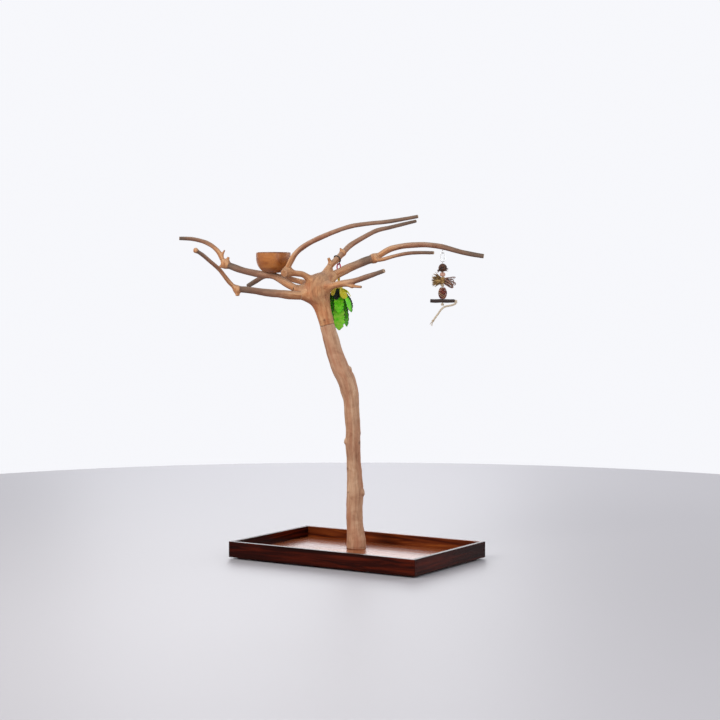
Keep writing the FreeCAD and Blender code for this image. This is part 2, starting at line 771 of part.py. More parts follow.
def bowl_half(radius, rim, floor):
    """The turned form of the bowl out to a radius: flat below, an elliptical side, upright at the rim."""
    flat = BOWL_FLAT_RADIUS
    side_top = floor + (rim - floor) * BOWL_SIDE_SHARE
    centre = Vector(0, 0, floor)
    foot = Vector(flat, 0, floor)
    shoulder = Vector(radius, 0, side_top)
    lip = Vector(radius, 0, rim)
    share = math.sqrt(0.5)
    belly = Vector(flat + (radius - flat) * share, 0, side_top - (side_top - floor) * share)
    edges = [
        Part.makeLine(centre, foot),
        Part.Arc(foot, belly, shoulder).toShape(),
        Part.makeLine(shoulder, lip),
        Part.makeLine(lip, Vector(0, 0, rim)),
        Part.makeLine(Vector(0, 0, rim), centre),
    ]
    return Part.Face(Part.Wire(edges)).revolve(Vector(0, 0, 0), UP, 360)


def bowl_washer():
    base = Vector(BOWL_CENTRE_X, BOWL_CENTRE_Y, BOWL_SEAT_Z + BOWL_WALL)
    disc = rod(base, base + UP * BOWL_WASHER_THICKNESS, BOWL_WASHER_RADIUS)
    return disc.cut(rod(base, base + UP * THROUGH, BOWL_SCREW_RADIUS + HOLE_CLEARANCE))


def bowl_screw():
    seat = Vector(BOWL_CENTRE_X, BOWL_CENTRE_Y, BOWL_SEAT_Z)
    under_head = seat + UP * (BOWL_WALL + BOWL_WASHER_THICKNESS)
    shank = rod(seat - UP * BOWL_SCREW_BITE, under_head, BOWL_SCREW_RADIUS)
    head = rod(under_head, under_head + UP * BOWL_SCREW_HEAD_HEIGHT, BOWL_SCREW_HEAD_RADIUS)
    return shank.fuse(head)


# Natural toy, from the top down. Its middle line is the upright line through TOY_X, TOY_Y.


def on_line(height, right=0.0, back=0.0):
    return Vector(TOY_X + right, TOY_Y + back, height)


def perch_underside():
    """How high the underside of the right perch is over the toy's middle line."""
    line, radii = limb_line("right_perch")
    nearest = min(range(len(line)), key=lambda i: abs(line[i].x - TOY_X))
    return line[nearest].z - radii[nearest]


EYE_HEIGHT = perch_underside() - EYE_DROP - EYE_WIRE_RADIUS - EYE_RADIUS
LINK_TOP = EYE_HEIGHT - EYE_RADIUS + EYE_WIRE_RADIUS + LINK_GAP + LINK_WIRE_RADIUS
LINK_HIGH_CENTRE = LINK_TOP - LINK_RADIUS
LINK_LOW_CENTRE = LINK_HIGH_CENTRE - LINK_STRAIGHT
LINK_BOTTOM = LINK_LOW_CENTRE - LINK_RADIUS
BALL_EYE_TOP = LINK_BOTTOM + LINK_WIRE_RADIUS + LINK_GAP + BALL_EYE_WIRE_RADIUS
BALL_EYE_HEIGHT = BALL_EYE_TOP - BALL_EYE_RADIUS
TOP_BALL_HEIGHT = BALL_EYE_HEIGHT - BALL_EYE_RADIUS - TOP_BALL_RADIUS
BEAD_HEIGHT = TOP_BALL_HEIGHT - TOP_BALL_RADIUS - STACK_GAP - BEAD_FLAT
BOW_HEIGHT = BEAD_HEIGHT - BEAD_FLAT - STACK_GAP - BOW_WAIST_LENGTH / 2
MIDDLE_KNOT_HEIGHT = BOW_HEIGHT - BOW_WAIST_LENGTH / 2 - MIDDLE_KNOT_RADIUS
WICKER_TOP = MIDDLE_KNOT_HEIGHT - MIDDLE_KNOT_RADIUS - STACK_GAP
WICKER_BOTTOM = WICKER_TOP - WICKER_LENGTH
STICK_HEIGHT = WICKER_BOTTOM - STACK_GAP - STICK_RADIUS
CORD_KNOT_HEIGHT = STICK_HEIGHT - STICK_RADIUS - STACK_GAP - CORD_KNOT_RADIUS


def eye_shank_ends():
    top = on_line(perch_underside() + EYE_SHANK_BITE)
    return top, on_line(EYE_HEIGHT + EYE_RADIUS)


def screw_eye():
    """The ring stands fore and aft, so that the link hangs square across it."""
    top, bottom = eye_shank_ends()
    ring = Part.makeTorus(EYE_RADIUS, EYE_WIRE_RADIUS, on_line(EYE_HEIGHT), Vector(1, 0, 0))
    return ring.fuse(rod(bottom, top, EYE_WIRE_RADIUS))


def half_ring(centre, ring_radius, wire_radius, upper):
    """Half of a ring that lies in the plane of the toy's link, as a turned circle."""
    start = centre + Vector(ring_radius, 0, 0)
    circle = Part.Face(Part.Wire(Part.makeCircle(wire_radius, start, UP)))
    return circle.revolve(centre, Vector(0, -1, 0) if upper else Vector(0, 1, 0), 180)


def quick_link():
    """An oval steel link, slit on its right side under the sleeve."""
    high = on_line(LINK_HIGH_CENTRE)
    low = on_line(LINK_LOW_CENTRE)
    right = Vector(LINK_RADIUS, 0, 0)
    middle = low + right + UP * SLIT_HEIGHT
    slit = UP * (LINK_SLIT / 2)
    parts = [
        half_ring(low, LINK_RADIUS, LINK_WIRE_RADIUS, False),
        rod(low - right, high - right, LINK_WIRE_RADIUS),
        rod(low + right, middle - slit, LINK_WIRE_RADIUS),
        rod(middle + slit, high + right, LINK_WIRE_RADIUS),
    ]
    return half_ring(high, LINK_RADIUS, LINK_WIRE_RADIUS, True).fuse(parts).removeSplitter()


def link_sleeve():
    """The sleeve that closes the slit; it is lifted to open the link."""
    bottom = on_line(LINK_LOW_CENTRE + SLIT_HEIGHT - SLEEVE_LENGTH / 2, LINK_RADIUS)
    corner_place = Vector(SLEEVE_RADIUS, 0, 0)
    hexagon = [bottom + Rotation(UP, 60 * i).multVec(corner_place) for i in range(7)]
    nut = Part.Face(Part.makePolygon(hexagon)).extrude(UP * SLEEVE_LENGTH)
    return nut.cut(rod(bottom, bottom + UP * SLEEVE_LENGTH, LINK_WIRE_RADIUS + SLEEVE_CLEARANCE))


def ball_eye():
    centre = on_line(BALL_EYE_HEIGHT)
    ring = Part.makeTorus(BALL_EYE_RADIUS, BALL_EYE_WIRE_RADIUS, centre, Vector(1, 0, 0))
    top = on_line(BALL_EYE_HEIGHT - BALL_EYE_RADIUS)
    return ring.fuse(rod(top - UP * BALL_EYE_BITE, top, BALL_EYE_WIRE_RADIUS))


def top_ball():
    ball = Part.makeSphere(TOP_BALL_RADIUS, on_line(TOP_BALL_HEIGHT))
    eye_top = on_line(BALL_EYE_HEIGHT - BALL_EYE_RADIUS)
    ring_wire = BALL_EYE_WIRE_RADIUS + HOLE_CLEARANCE
    eye_hole = rod(eye_top - UP * (BALL_EYE_BITE + HOLE_CLEARANCE), eye_top, ring_wire)
    ring_room = Part.makeTorus(BALL_EYE_RADIUS, ring_wire, on_line(BALL_EYE_HEIGHT), Vector(1, 0, 0))
    bottom = on_line(TOP_BALL_HEIGHT - TOP_BALL_RADIUS)
    cord_end = bottom + UP * (TOY_CORD_SOCKET + HOLE_CLEARANCE)
    cord_hole = rod(bottom, cord_end, TOY_CORD_RADIUS + HOLE_CLEARANCE)
    return less(ball, [eye_hole, ring_room, cord_hole])


def toy_cord():
    """The cord through the toy, from inside the top ball to the knot under the stick."""
    top = on_line(TOP_BALL_HEIGHT - TOP_BALL_RADIUS + TOY_CORD_SOCKET)
    return rod(on_line(CORD_KNOT_HEIGHT + CORD_END_RISE), top, TOY_CORD_RADIUS)


def cord_bore(clearance):
    return rod(on_line(CORD_KNOT_HEIGHT), on_line(TOP_BALL_HEIGHT), TOY_CORD_RADIUS + clearance)


def wood_bead():
    ball = Part.makeSphere(BEAD_RADIUS, on_line(BEAD_HEIGHT))
    slab = box(on_line(0), 4 * BEAD_RADIUS, 4 * BEAD_RADIUS, BEAD_HEIGHT - BEAD_FLAT, BEAD_HEIGHT + BEAD_FLAT)
    return ball.common(slab).cut(cord_bore(SPIN_CLEARANCE))


def bow_wing(reach, size):
    """One side of the bow: narrow at the waist and fanned out at its end."""
    middle = on_line(BOW_HEIGHT)
    end = middle + vector(reach)
    out = (end - middle).normalize()
    side = Vector(0, 1, 0)
    wires = []
    for share, spread in BOW_SPREADS:
        centre = middle + (end - middle) * share
        tall = size[0] * spread
        deep = size[1] * spread
        ellipse = Part.Ellipse(centre + out.cross(side) * tall, centre + side * deep, centre)
        wires.append(Part.Wire(ellipse.toShape()))
    return Part.makeLoft(wires, True, False)


def palm_bow():
    """A tied bow of shredded palm leaf."""
    half = BOW_WAIST_LENGTH / 2
    waist = rod(on_line(BOW_HEIGHT - half), on_line(BOW_HEIGHT + half), BOW_WAIST_RADIUS)
    wings = [bow_wing(BOW_LEFT, BOW_LEFT_SIZE), bow_wing(BOW_RIGHT, BOW_RIGHT_SIZE)]
    return less(waist.fuse(wings), [cord_bore(HOLE_CLEARANCE)])


def wicker_ball():
    """A long ball of woven vine, modelled as its outer form."""
    half = WICKER_LENGTH / 2
    middle = on_line(WICKER_BOTTOM + half)
    wires = []
    for share, spread in WICKER_SPREADS:
        wires.append(section(middle + UP * (half * share), UP, Vector(1, 0, 0), WICKER_RADIUS * spread))
    return Part.makeLoft(wires, True, False).cut(cord_bore(SPIN_CLEARANCE))


def perch_stick():
    left = on_line(STICK_HEIGHT, -STICK_LEFT)
    right = on_line(STICK_HEIGHT, STICK_RIGHT)
    return rod(left, right, STICK_RADIUS).cut(cord_bore(SPIN_CLEARANCE))


def cord_knots():
    """The knot that carries the bow, and the one under the stick."""
    places = [(MIDDLE_KNOT_RADIUS, MIDDLE_KNOT_HEIGHT), (CORD_KNOT_RADIUS, CORD_KNOT_HEIGHT)]
    knots = [Part.makeSphere(radius, on_line(height)) for radius, height in places]
    return [knot.cut(cord_bore(HOLE_CLEARANCE)) for knot in knots]


def end_knot():
    """The knot on the stick's right end, cut flat against it and where the tail leaves it."""
    knot = Part.makeSphere(END_KNOT_RADIUS, on_line(STICK_HEIGHT - END_KNOT_DROP, STICK_RIGHT + END_KNOT_OUT))
    stick_side = rod(on_line(STICK_HEIGHT), on_line(STICK_HEIGHT, STICK_RIGHT), 3 * END_KNOT_RADIUS)
    tail_start = vector(TAIL_POINTS[0])
    tail_side = rod(tail_start, vector(TAIL_POINTS[1]), 3 * END_KNOT_RADIUS)
    return less(knot, [stick_side, tail_side])


def rounded_path(points):
    """Straight runs joined by arcs, each as large as its two runs allow. Prints the arcs' radii."""
    edges = []
    last = points[0]
    radii = []
    for before, here, after in zip(points, points[1:], points[2:]):
        back = (before - here).normalize()
        ahead = (after - here).normalize()
        reach = 0.45 * min((before - here).Length, (after - here).Length)
        start = here + back * reach
        end = here + ahead * reach
        turn = math.pi - back.getAngle(ahead)
        radius = reach / math.tan(turn / 2)
        radii.append(round(radius, 1))
        bisector = (back + ahead).normalize()
        middle = here + bisector * (radius / math.cos(turn / 2) - radius)
        edges.append(Part.LineSegment(last, start).toShape())
        edges.append(Part.Arc(start, middle, end).toShape())
        last = end
    edges.append(Part.LineSegment(last, points[-1]).toShape())
    print("tail radii", radii)
    return Part.Wire(edges)


def tail_rope():
    points = [vector(point) for point in TAIL_POINTS]
    path = rounded_path(points)
    start = Part.Wire(Part.makeCircle(TAIL_RADIUS, points[0], points[1] - points[0]))
    tube = path.makePipeShell([start], True, False)
    share = tube.Volume / (math.pi * TAIL_RADIUS**2 * path.Length)
    print("tail length", round(path.Length, 1), "volume share", round(share, 4))
    return tube


def tail_knot():
    """The knot at the tail's end, cut flat where the tail meets it."""
    end = vector(TAIL_POINTS[-1])
    before = vector(TAIL_POINTS[-2])
    out = (end - before).normalize()
    knot = Part.makeSphere(TAIL_KNOT_RADIUS, end + out * TAIL_KNOT_OUT)
    return knot.cut(rod(before, end, 3 * TAIL_KNOT_RADIUS))


# Coloured toy, from the top down


def hanger_place():
    """The loop goes round the rear right limb at its first point after the cut."""
    return vector(LIMBS["rear_right_limb"][0][0])


def hanger_direction():
    return (vector(LIMBS["rear_right_limb"][0][1]) - vector(SOCKETS["rear_right_limb"][1])).normalize()


def hanger_radius():
    _, radii = limb_line("rear_right_limb")
    return radii[1] + HANGER_SLACK + HANGER_WIRE_RADIUS


def ring_axis():
    angle = math.radians(RING_FACING)
    return Vector(math.sin(angle), math.cos(angle), 0)


def ring_run():
    angle = math.radians(RING_FACING)
    return Vector(-math.cos(angle), math.sin(angle), 0)


def hanger_eye_centre():
    """Under the lowest point of the loop round the limb."""
    along = hanger_direction()
    down = (UP * -1 + along * along.z).normalize()
    bottom = hanger_place() + down * hanger_radius()
    return bottom - UP * HANGER_EYE_RADIUS


def hanger_loop():
    """A stout loop round the limb with a small eye under it; the eye stands across the ring."""
    loop = Part.makeTorus(hanger_radius(), HANGER_WIRE_RADIUS, hanger_place(), hanger_direction())
    eye = Part.makeTorus(HANGER_EYE_RADIUS, HANGER_EYE_WIRE_RADIUS, hanger_eye_centre(), ring_run())
    return loop.fuse(eye)


def ring_centre():
    wire_top = HANGER_EYE_WIRE_RADIUS + LINK_GAP + RING_TUBE_RADIUS
    return hanger_eye_centre() + UP * (wire_top - HANGER_EYE_RADIUS - RING_RADIUS)


def colour_ring():
    return Part.makeTorus(RING_RADIUS, RING_TUBE_RADIUS, ring_centre(), ring_axis())


def strap_top():
    """The middle of the strap's bend over the ring's lowest point."""
    return ring_centre() - UP * RING_RADIUS


def toy_strap():
    """A strap doubled over the ring: a half turn above, two legs that close to the cap below."""
    sag = RING_RADIUS - math.sqrt(RING_RADIUS**2 - (STRAP_WIDTH / 2) ** 2)
    inner = RING_TUBE_RADIUS + LINK_GAP + sag
    outer = inner + STRAP_THICKNESS
    run = ring_run()
    across = ring_axis()
    top = strap_top() - run * (STRAP_WIDTH / 2)
    bend = rod(top, top + run * STRAP_WIDTH, outer).cut(rod(top, top + run * STRAP_WIDTH, inner))
    left = top - across * (2 * outer)
    right = top + across * (2 * outer)
    drop = UP * (2 * outer)
    corners = [left, right, right - drop, left - drop, left]
    lower = Part.Face(Part.makePolygon(corners)).extrude(run * STRAP_WIDTH)
    legs = []
    for side in (-1, 1):
        leg = [across * (side * inner), across * (side * outer)]
        end = top - UP * STRAP_LENGTH
        foot = [end + across * (side * STRAP_THICKNESS), end - across * (side * STRAP_SEAM)]
        outline = [top + leg[0], top + leg[1], foot[0], foot[1]]
        legs.append(Part.Face(Part.makePolygon(outline + [outline[0]])).extrude(run * STRAP_WIDTH))
    return bend.cut(lower).fuse(legs).removeSplitter()


def cap_top():
    return strap_top() - UP * STRAP_LENGTH


def leaf_cap():
    """The turned cap that gathers the leaves."""
    outline = [
        (0, 0),
        (CAP_TOP_RADIUS, 0),
        (CAP_RADIUS, -CAP_SHOULDER),
        (CAP_RADIUS, -CAP_HEIGHT),
        (0, -CAP_HEIGHT),
    ]
    return revolved(outline, cap_top())


def leaf(facing, lean, length, width, root_radius):
    """A flat pointed leaf that hangs from the cap at a radius and leans outwards."""
    left = [Vector(-width / 2 * wide, 0, -length * down) for wide, down in LEAF_SIDE]
    right = [Vector(-point.x, 0, point.z) for point in reversed(left)]
    outline = left + [Vector(0, 0, -length)] + right
    blade = Part.Face(Part.makePolygon(outline + [outline[0]])).extrude(Vector(0, LEAF_THICKNESS, 0))
    blade.rotate(Vector(0, 0, 0), Vector(1, 0, 0), lean)
    drop = CAP_HEIGHT + LEAF_THICKNESS * math.sin(math.radians(lean))
    blade.translate(Vector(0, root_radius, -drop))
    blade.rotate(Vector(0, 0, 0), UP, facing - 90)
    blade.translate(cap_top())
    return blade


def leaves(rows, root_radius):
    return [leaf(*row, root_radius) for row in rows]


def build():
    """Every node in its own frame: first those square to the tray, then those in the tree's frame."""
    square = {
        **rails(),
        "mitre_keys": mitre_keys(),
        "base_panel": base_panel(),
        "corner_blocks": [corner_block(x, y) for x, y in CORNERS],
        "block_screws": [block_screw(x, y, which) for x, y in CORNERS for which in (0, 1)],
        "floor_glides": [glide(x, y) for x, y in CORNERS],
        "glide_nails": [glide_nail(x, y) for x, y in CORNERS],
        "anchor_plate": anchor_plate(),
        "trunk_pad": trunk_pad(),
        "lag_screws": [lag_screw(place) for place in lag_places()],
        "lag_washers": [lag_washer(place) for place in lag_places()],
    }
    thick = [socket_bolt(name) for name in THICK_SOCKETS]
    thin = [socket_bolt(name) for name in SOCKETS if name not in THICK_SOCKETS]
    crown_bolt, *crown_dowels = crown_fasteners()
    tree = {
        "trunk": trunk(),
        "crown": crown(),
        "crown_bolt": crown_bolt,
        "crown_dowels": crown_dowels,
        "limb_bolts": thick,
        "perch_bolts": thin,
        "left_rear_limb": left_rear_limb(),
        "left_rear_perch": limb("left_rear_perch"),
        "left_front_limb": limb("left_front_limb", ["left_front_perch"]),
        "left_front_perch": limb("left_front_perch"),
        "rear_limb": limb("rear_limb"),
        "rear_right_limb": limb("rear_right_limb"),
        "right_limb": limb("right_limb", ["right_perch", "right_lower_perch"]),
        "right_perch": right_perch(),
        "right_lower_perch": limb("right_lower_perch"),
        "front_right_limb": limb("front_right_limb"),
        "front_arch_limb": limb("front_arch_limb"),
        "bowl": bowl(),
        "bowl_washer": bowl_washer(),
        "bowl_screw": bowl_screw(),
        "screw_eye": screw_eye(),
        "quick_link": quick_link(),
        "link_sleeve": link_sleeve(),
        "ball_eye": ball_eye(),
        "top_ball": top_ball(),
        "toy_cord": toy_cord(),
        "wood_bead": wood_bead(),
        "palm_bow": palm_bow(),
        "wicker_ball": wicker_ball(),
        "perch_stick": perch_stick(),
        "cord_knots": cord_knots(),
        "end_knot": end_knot(),
        "tail_rope": tail_rope(),
        "tail_knot": tail_knot(),
        "hanger_loop": hanger_loop(),
        "colour_ring": colour_ring(),
        "toy_strap": toy_strap(),
        "leaf_cap": leaf_cap(),
        "green_leaves": leaves(INNER_LEAVES, INNER_ROOT_RADIUS) + leaves(GREEN_LEAVES, GREEN_ROOT_RADIUS),
        "dark_leaves": leaves(CORE_LEAVES, CORE_ROOT_RADIUS) + leaves(DARK_LEAVES, DARK_ROOT_RADIUS),
        "yellow_leaves": leaves(YELLOW_LEAVES, YELLOW_ROOT_RADIUS),
    }
    return square, tree


def main():
    os.makedirs("parts", exist_ok=True)
    square, tree = build()
    for name, made in {**square, **tree}.items():
        shape = Part.makeCompound(made) if isinstance(made, list) else made
        if name in tree:
            shape.rotate(Vector(0, 0, 0), UP, TREE_TURN)
        shape.exportStep(f"parts/{name}.step")


main()
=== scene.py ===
import math
import random

import bpy
import numpy as np
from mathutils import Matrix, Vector, noise


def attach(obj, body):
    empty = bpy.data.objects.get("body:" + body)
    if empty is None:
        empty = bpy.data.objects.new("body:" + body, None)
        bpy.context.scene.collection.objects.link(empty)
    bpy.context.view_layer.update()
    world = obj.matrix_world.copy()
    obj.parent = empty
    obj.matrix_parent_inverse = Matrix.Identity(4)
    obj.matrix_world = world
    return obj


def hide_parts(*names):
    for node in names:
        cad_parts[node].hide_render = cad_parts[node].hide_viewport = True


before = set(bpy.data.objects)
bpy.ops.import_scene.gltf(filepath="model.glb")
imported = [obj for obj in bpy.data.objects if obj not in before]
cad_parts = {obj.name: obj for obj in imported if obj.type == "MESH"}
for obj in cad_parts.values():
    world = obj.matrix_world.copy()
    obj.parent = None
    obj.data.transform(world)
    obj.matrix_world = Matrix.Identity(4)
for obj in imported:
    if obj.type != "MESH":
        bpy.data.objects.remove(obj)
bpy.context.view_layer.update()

# The looks of a parrot play stand. Metres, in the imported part's frame: the origin is on the
# floor under the trunk's foot. The tree and its toys are written in the tree's own frame (x to
# the right of the foot, y away behind it), and TREE_TURN turns that frame onto the tray's.
TREE_TURN = math.radians(32.65)
UP = np.array((0.0, 0.0, 1.0))

# Camera
CAMERA_PLACE = (3.9297, -6.1019, 1.1328)
CAMERA_PITCH = math.radians(2.344)
CAMERA_LENS = 85.0
SENSOR_WIDTH = 36.0
CAMERA_REACH = 60.0

# Stage
FLOOR_RADIUS = 3.9
FLOOR_SIDES = 128
FLOOR_COLOUR = (0.52, 0.505, 0.53)
BACKGROUND = (0.93, 0.935, 0.97)
ROOM_LIGHT = (0.92, 0.94, 1.0)
ROOM_LIGHT_STRENGTH = 0.40
LIGHT_TARGET = (0.0, 0.0, 0.9)
# The place, size, power and colour of each lamp
LIGHTS = {
    "key": ((-1.2, -4.4, 3.6), 2.6, 150.0, (1.0, 0.97, 0.93)),
    "fill": ((4.6, -2.6, 2.2), 3.0, 60.0, (0.97, 0.98, 1.0)),
    "window": ((-3.2, 4.2, 2.8), 3.4, 120.0, (0.95, 0.97, 1.0)),
    "back": ((3.4, 4.4, 2.8), 3.0, 80.0, (0.97, 0.98, 1.0)),
}

# Tree, point by point with radii, as the solids have it. These tables are in millimetres.
TRUNK_LINE = [
    (0, 0, 28, 41), (0, 0, 62, 41), (-5, 1, 125, 36), (-7, 3, 192, 35), (-4, 5, 257, 36.5),
    (-6, 6, 321, 33), (-10, 3, 407, 30.5), (-14, -2, 471, 31.5), (-13, -6, 536, 31),
    (-17, -8, 600, 32), (-21, -5, 665, 33), (-29, 0, 707, 38), (-42, 3, 750, 39), (-67, 3, 800, 37),
    (-88, 1, 857, 35.5), (-106, 0, 921, 33.5), (-124, 0, 985, 31),
]
CROWN_LINE = [
    (-124, 0, 985, 31), (-141, 0, 1049, 34), (-154, 0, 1088, 41), (-163, 0, 1116, 48),
    (-166, 1, 1143, 49), (-162, 1, 1166, 40), (-156, 2, 1180, 24),
]
ARCH_ROOT = [
    (-176, -8, 1152, 17), (-200, -24, 1182, 15), (-226, -38, 1200, 13), (-258, -48, 1205, 13),
    (-286, -54, 1209, 16), (-303, -78, 1204, 14),
]
# The start inside the parent, the saw cut, the radii at both and at the far end, and the points
# after the saw cut
BRANCHES = {
    "left_rear_limb": ((-170, -8, 1122), (-262, 5, 1143), (32, 15.5, 13.5), [
        (-300, 17, 1164), (-352, 36, 1195), (-403, 47, 1201), (-474, 60, 1215), (-521, 66, 1230),
        (-558, 71, 1244),
    ]),
    "left_front_limb": ((-172, 2, 1112), (-238, -29, 1112), (32, 19, 12), [
        (-283, -50, 1114), (-328, -70, 1119), (-373, -90, 1123), (-417, -105, 1130),
        (-462, -120, 1136), (-496, -129, 1138),
    ]),
    "rear_limb": ((-175, 5, 1148), (-236, 50, 1170), (24, 11.5, 10), [
        (-268, 78, 1178), (-304, 110, 1187), (-358, 150, 1197), (-402, 186, 1194), (-440, 213, 1174),
        (-477, 240, 1152),
    ]),
    "rear_right_limb": ((-146, 14, 1172), (-113, 50, 1237), (25, 13, 7), [
        (-81, 88, 1269), (-58, 114, 1294), (-23, 146, 1330), (33, 185, 1365), (89, 222, 1395),
        (146, 258, 1410), (203, 295, 1425), (266, 330, 1441),
    ]),
    "right_limb": ((-150, 5, 1146), (-92, 47, 1198), (33, 19, 16.5), [
        (-44, 65, 1223), (4, 78, 1244), (47, 88, 1262), (74, 90, 1271),
    ]),
    "front_right_limb": ((-150, -10, 1140), (-92, -40, 1155), (27, 14, 8.5), [
        (-49, -70, 1164), (-5, -105, 1173), (43, -150, 1189), (85, -190, 1203), (117, -215, 1214),
    ]),
    "front_arch_limb": ((-294, -56, 1211), (-288, -62, 1230), (15, 11.5, 7), [
        (-272, -76, 1261), (-254, -91, 1288), (-226, -110, 1312), (-188, -135, 1335),
        (-143, -160, 1355), (-88, -183, 1377), (-21, -205, 1398), (50, -230, 1408),
        (130, -255, 1415), (197, -275, 1425), (254, -290, 1435),
    ]),
    "left_rear_perch": ((-563, 72, 1246), (-577, 73, 1267), (15, 10, 7.5), [
        (-591, 74, 1296), (-613, 74, 1319), (-638, 72, 1335), (-665, 70, 1345), (-707, 66, 1354),
        (-760, 60, 1356),
    ]),
    "left_front_perch": ((-499, -130, 1138), (-517, -139, 1154), (13, 9, 7.5), [
        (-531, -148, 1169), (-549, -165, 1194), (-571, -180, 1223), (-601, -198, 1250),
        (-635, -215, 1280), (-662, -230, 1298),
    ]),
    "right_perch": ((78, 90, 1271), (101, 91, 1284), (17, 12.5, 9.5), [
        (143, 88, 1309), (197, 80, 1323), (252, 68, 1328), (307, 55, 1328), (371, 40, 1319),
        (442, 30, 1299), (496, 24, 1287), (546, 20, 1279),
    ]),
    "right_lower_perch": ((76, 88, 1266), (97, 69, 1263), (13, 8, 7), [
        (122, 52, 1268), (169, 30, 1281), (223, 0, 1291), (276, -30, 1293), (329, -55, 1292),
    ]),
}
CARRIES = {
    "left_rear_limb": ["left_rear_perch"],
    "left_front_limb": ["left_front_perch"],
    "right_limb": ["right_perch", "right_lower_perch"],
}
# The middle and radius of each swollen knuckle
KNUCKLES = [
    ("left_rear_limb", (-561, 72, 1245), 20),
    ("left_front_limb", (-499, -130, 1137), 16),
    ("right_limb", (78, 90, 1271), 21),
    ("rear_right_limb", (-58, 114, 1294), 14),
    ("left_front_perch", (-662, -230, 1298), 10),
]
# The start, end and both radii of each stub of a side branch
SPURS = [
    ("left_rear_limb", (-561, 70, 1250), (-548, 66, 1276), (9, 5.5)),
    ("left_rear_limb", (-563, 74, 1240), (-589, 84, 1234), (10, 6)),
    ("left_rear_perch", (-578, 73, 1284), (-565, 66, 1306), (6, 3)),
    ("left_front_limb", (-497, -130, 1134), (-496, -134, 1110), (12, 8)),
    ("rear_right_limb", (-107, 56, 1244), (-119, 48, 1272), (9, 6)),
    ("rear_right_limb", (-57, 114, 1295), (-69, 106, 1315), (7, 3.5)),
    ("front_right_limb", (-56, -67, 1161), (-14, -100, 1150), (9, 7)),
    ("front_right_limb", (-19, -96, 1151), (22, -130, 1147), (6.5, 5.5)),
    ("trunk", (-62, 2, 792), (-22, -8, 800), (16, 7)),
    ("trunk", (-8, 4, 262), (33, -4, 268), (17, 10)),
    ("trunk", (-14, -3, 480), (-49, -10, 488), (15, 8)),
]
NODE_SWELL = 0.07
SMALL_NODE_LENGTH = 0.001
LINE_STEPS = 5
TUBE_SIDES = 16

# Wood surface: voxel, fillet at the forks, lumps, flutes along the grain, and knots
TRUNK_VOXEL = 0.0032
CROWN_VOXEL = 0.0026
LIMB_VOXEL = 0.0019
STICK_VOXEL = 0.0011
TRUNK_FILLET = 0.012
CROWN_FILLET = 0.026
LIMB_FILLET = 0.009
EDGE_ROUND = 0.0014
LUMP_SHARE = 0.075
FLUTE_HEIGHT = 0.00042
KNOT_SPACING = 0.085
KNOT_HEIGHT = 0.085
SETTLE_ROUNDS = 7
ROOT_WARMTH_LENGTH = 0.085
# Pale, mid, deep and red tones of the wood
TRUNK_WOOD = ((228, 192, 158), (202, 156, 122), (150, 104, 76), (186, 122, 90))
CROWN_WOOD = ((236, 188, 138), (210, 148, 100), (130, 76, 50), (196, 112, 70))
LIMB_WOOD = ((206, 166, 138), (170, 122, 94), (104, 66, 48), (156, 88, 64))


def mm(values):
    return np.asarray(values, float) / 1000


def turned(points):
    """Points of the tree's frame in the row's frame, as an array."""
    points = np.asarray(points, float)
    cosine = math.cos(TREE_TURN)
    sine = math.sin(TREE_TURN)
    result = points.copy()
    result[..., 0] = points[..., 0] * cosine - points[..., 1] * sine
    result[..., 1] = points[..., 0] * sine + points[..., 1] * cosine
    return result


def unit(vectors):
    vectors = np.asarray(vectors, float)
    return vectors / np.maximum(np.linalg.norm(vectors, axis=-1, keepdims=True), 1e-12)


def link_object(name, data):
    thing = bpy.data.objects.new(name, data)
    bpy.context.scene.collection.objects.link(thing)
    return thing


def add_piece(name, mesh, material, body, slot, *nodes):
    """A visible piece that rides a body and stands for nodes of the solid model."""
    mesh.materials.append(material)
    piece = link_object(name, mesh)
    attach(piece, body)
    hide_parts(*nodes)
    return piece


def mesh_of(name, points, faces, smooth=True):
    mesh = bpy.data.meshes.new(name)
    mesh.from_pydata([tuple(point) for point in points], [], faces)
    mesh.validate()
    mesh.update()
    mesh.shade_smooth() if smooth else mesh.shade_flat()
    return mesh


def attribute(mesh, name, values):
    """A value or a vector at each point of a mesh, for its material."""
    values = np.asarray(values, np.float32)
    kind, field = ("FLOAT", "value") if values.ndim == 1 else ("FLOAT_VECTOR", "vector")
    mesh.attributes.new(name, kind, "POINT").data.foreach_set(field, values.ravel())


def vectors_of(collection, field):
    flat = np.empty(len(collection) * 3, np.float32)
    collection.foreach_get(field, flat)
    return flat.reshape(-1, 3).astype(float)


def place_points(mesh, places):
    mesh.vertices.foreach_set("co", places.astype(np.float32).ravel())
    mesh.update()


def noise_at(points, scale, seed):
    """Smooth noise from -1 to 1 at each point."""
    shift = Vector((seed * 7.13, seed * 3.71, seed * 5.37))
    return np.array([noise.noise(Vector(point) * scale + shift) for point in points])


# Materials


class Nodes:
    """Adds nodes to a node tree."""

    def __init__(self, tree):
        self.tree = tree

    def feed(self, value, socket):
        """Link a socket, or set a value that stays the same all over. None leaves it alone."""
        if isinstance(value, bpy.types.NodeSocket):
            self.tree.links.new(value, socket)
        elif value is not None:
            socket.default_value = (*value, 1) if socket.type == "RGBA" and len(value) == 3 else value

    def node(self, kind, inputs=None, **settings):
        node = self.tree.nodes.new("ShaderNode" + kind)
        for name, value in settings.items():
            setattr(node, name, value)
        for socket, value in (inputs or {}).items():
            self.feed(value, node.inputs[socket])
        return node

    def maths(self, operation, first, second=None):
        return self.node("Math", {0: first, 1: second}, operation=operation).outputs[0]


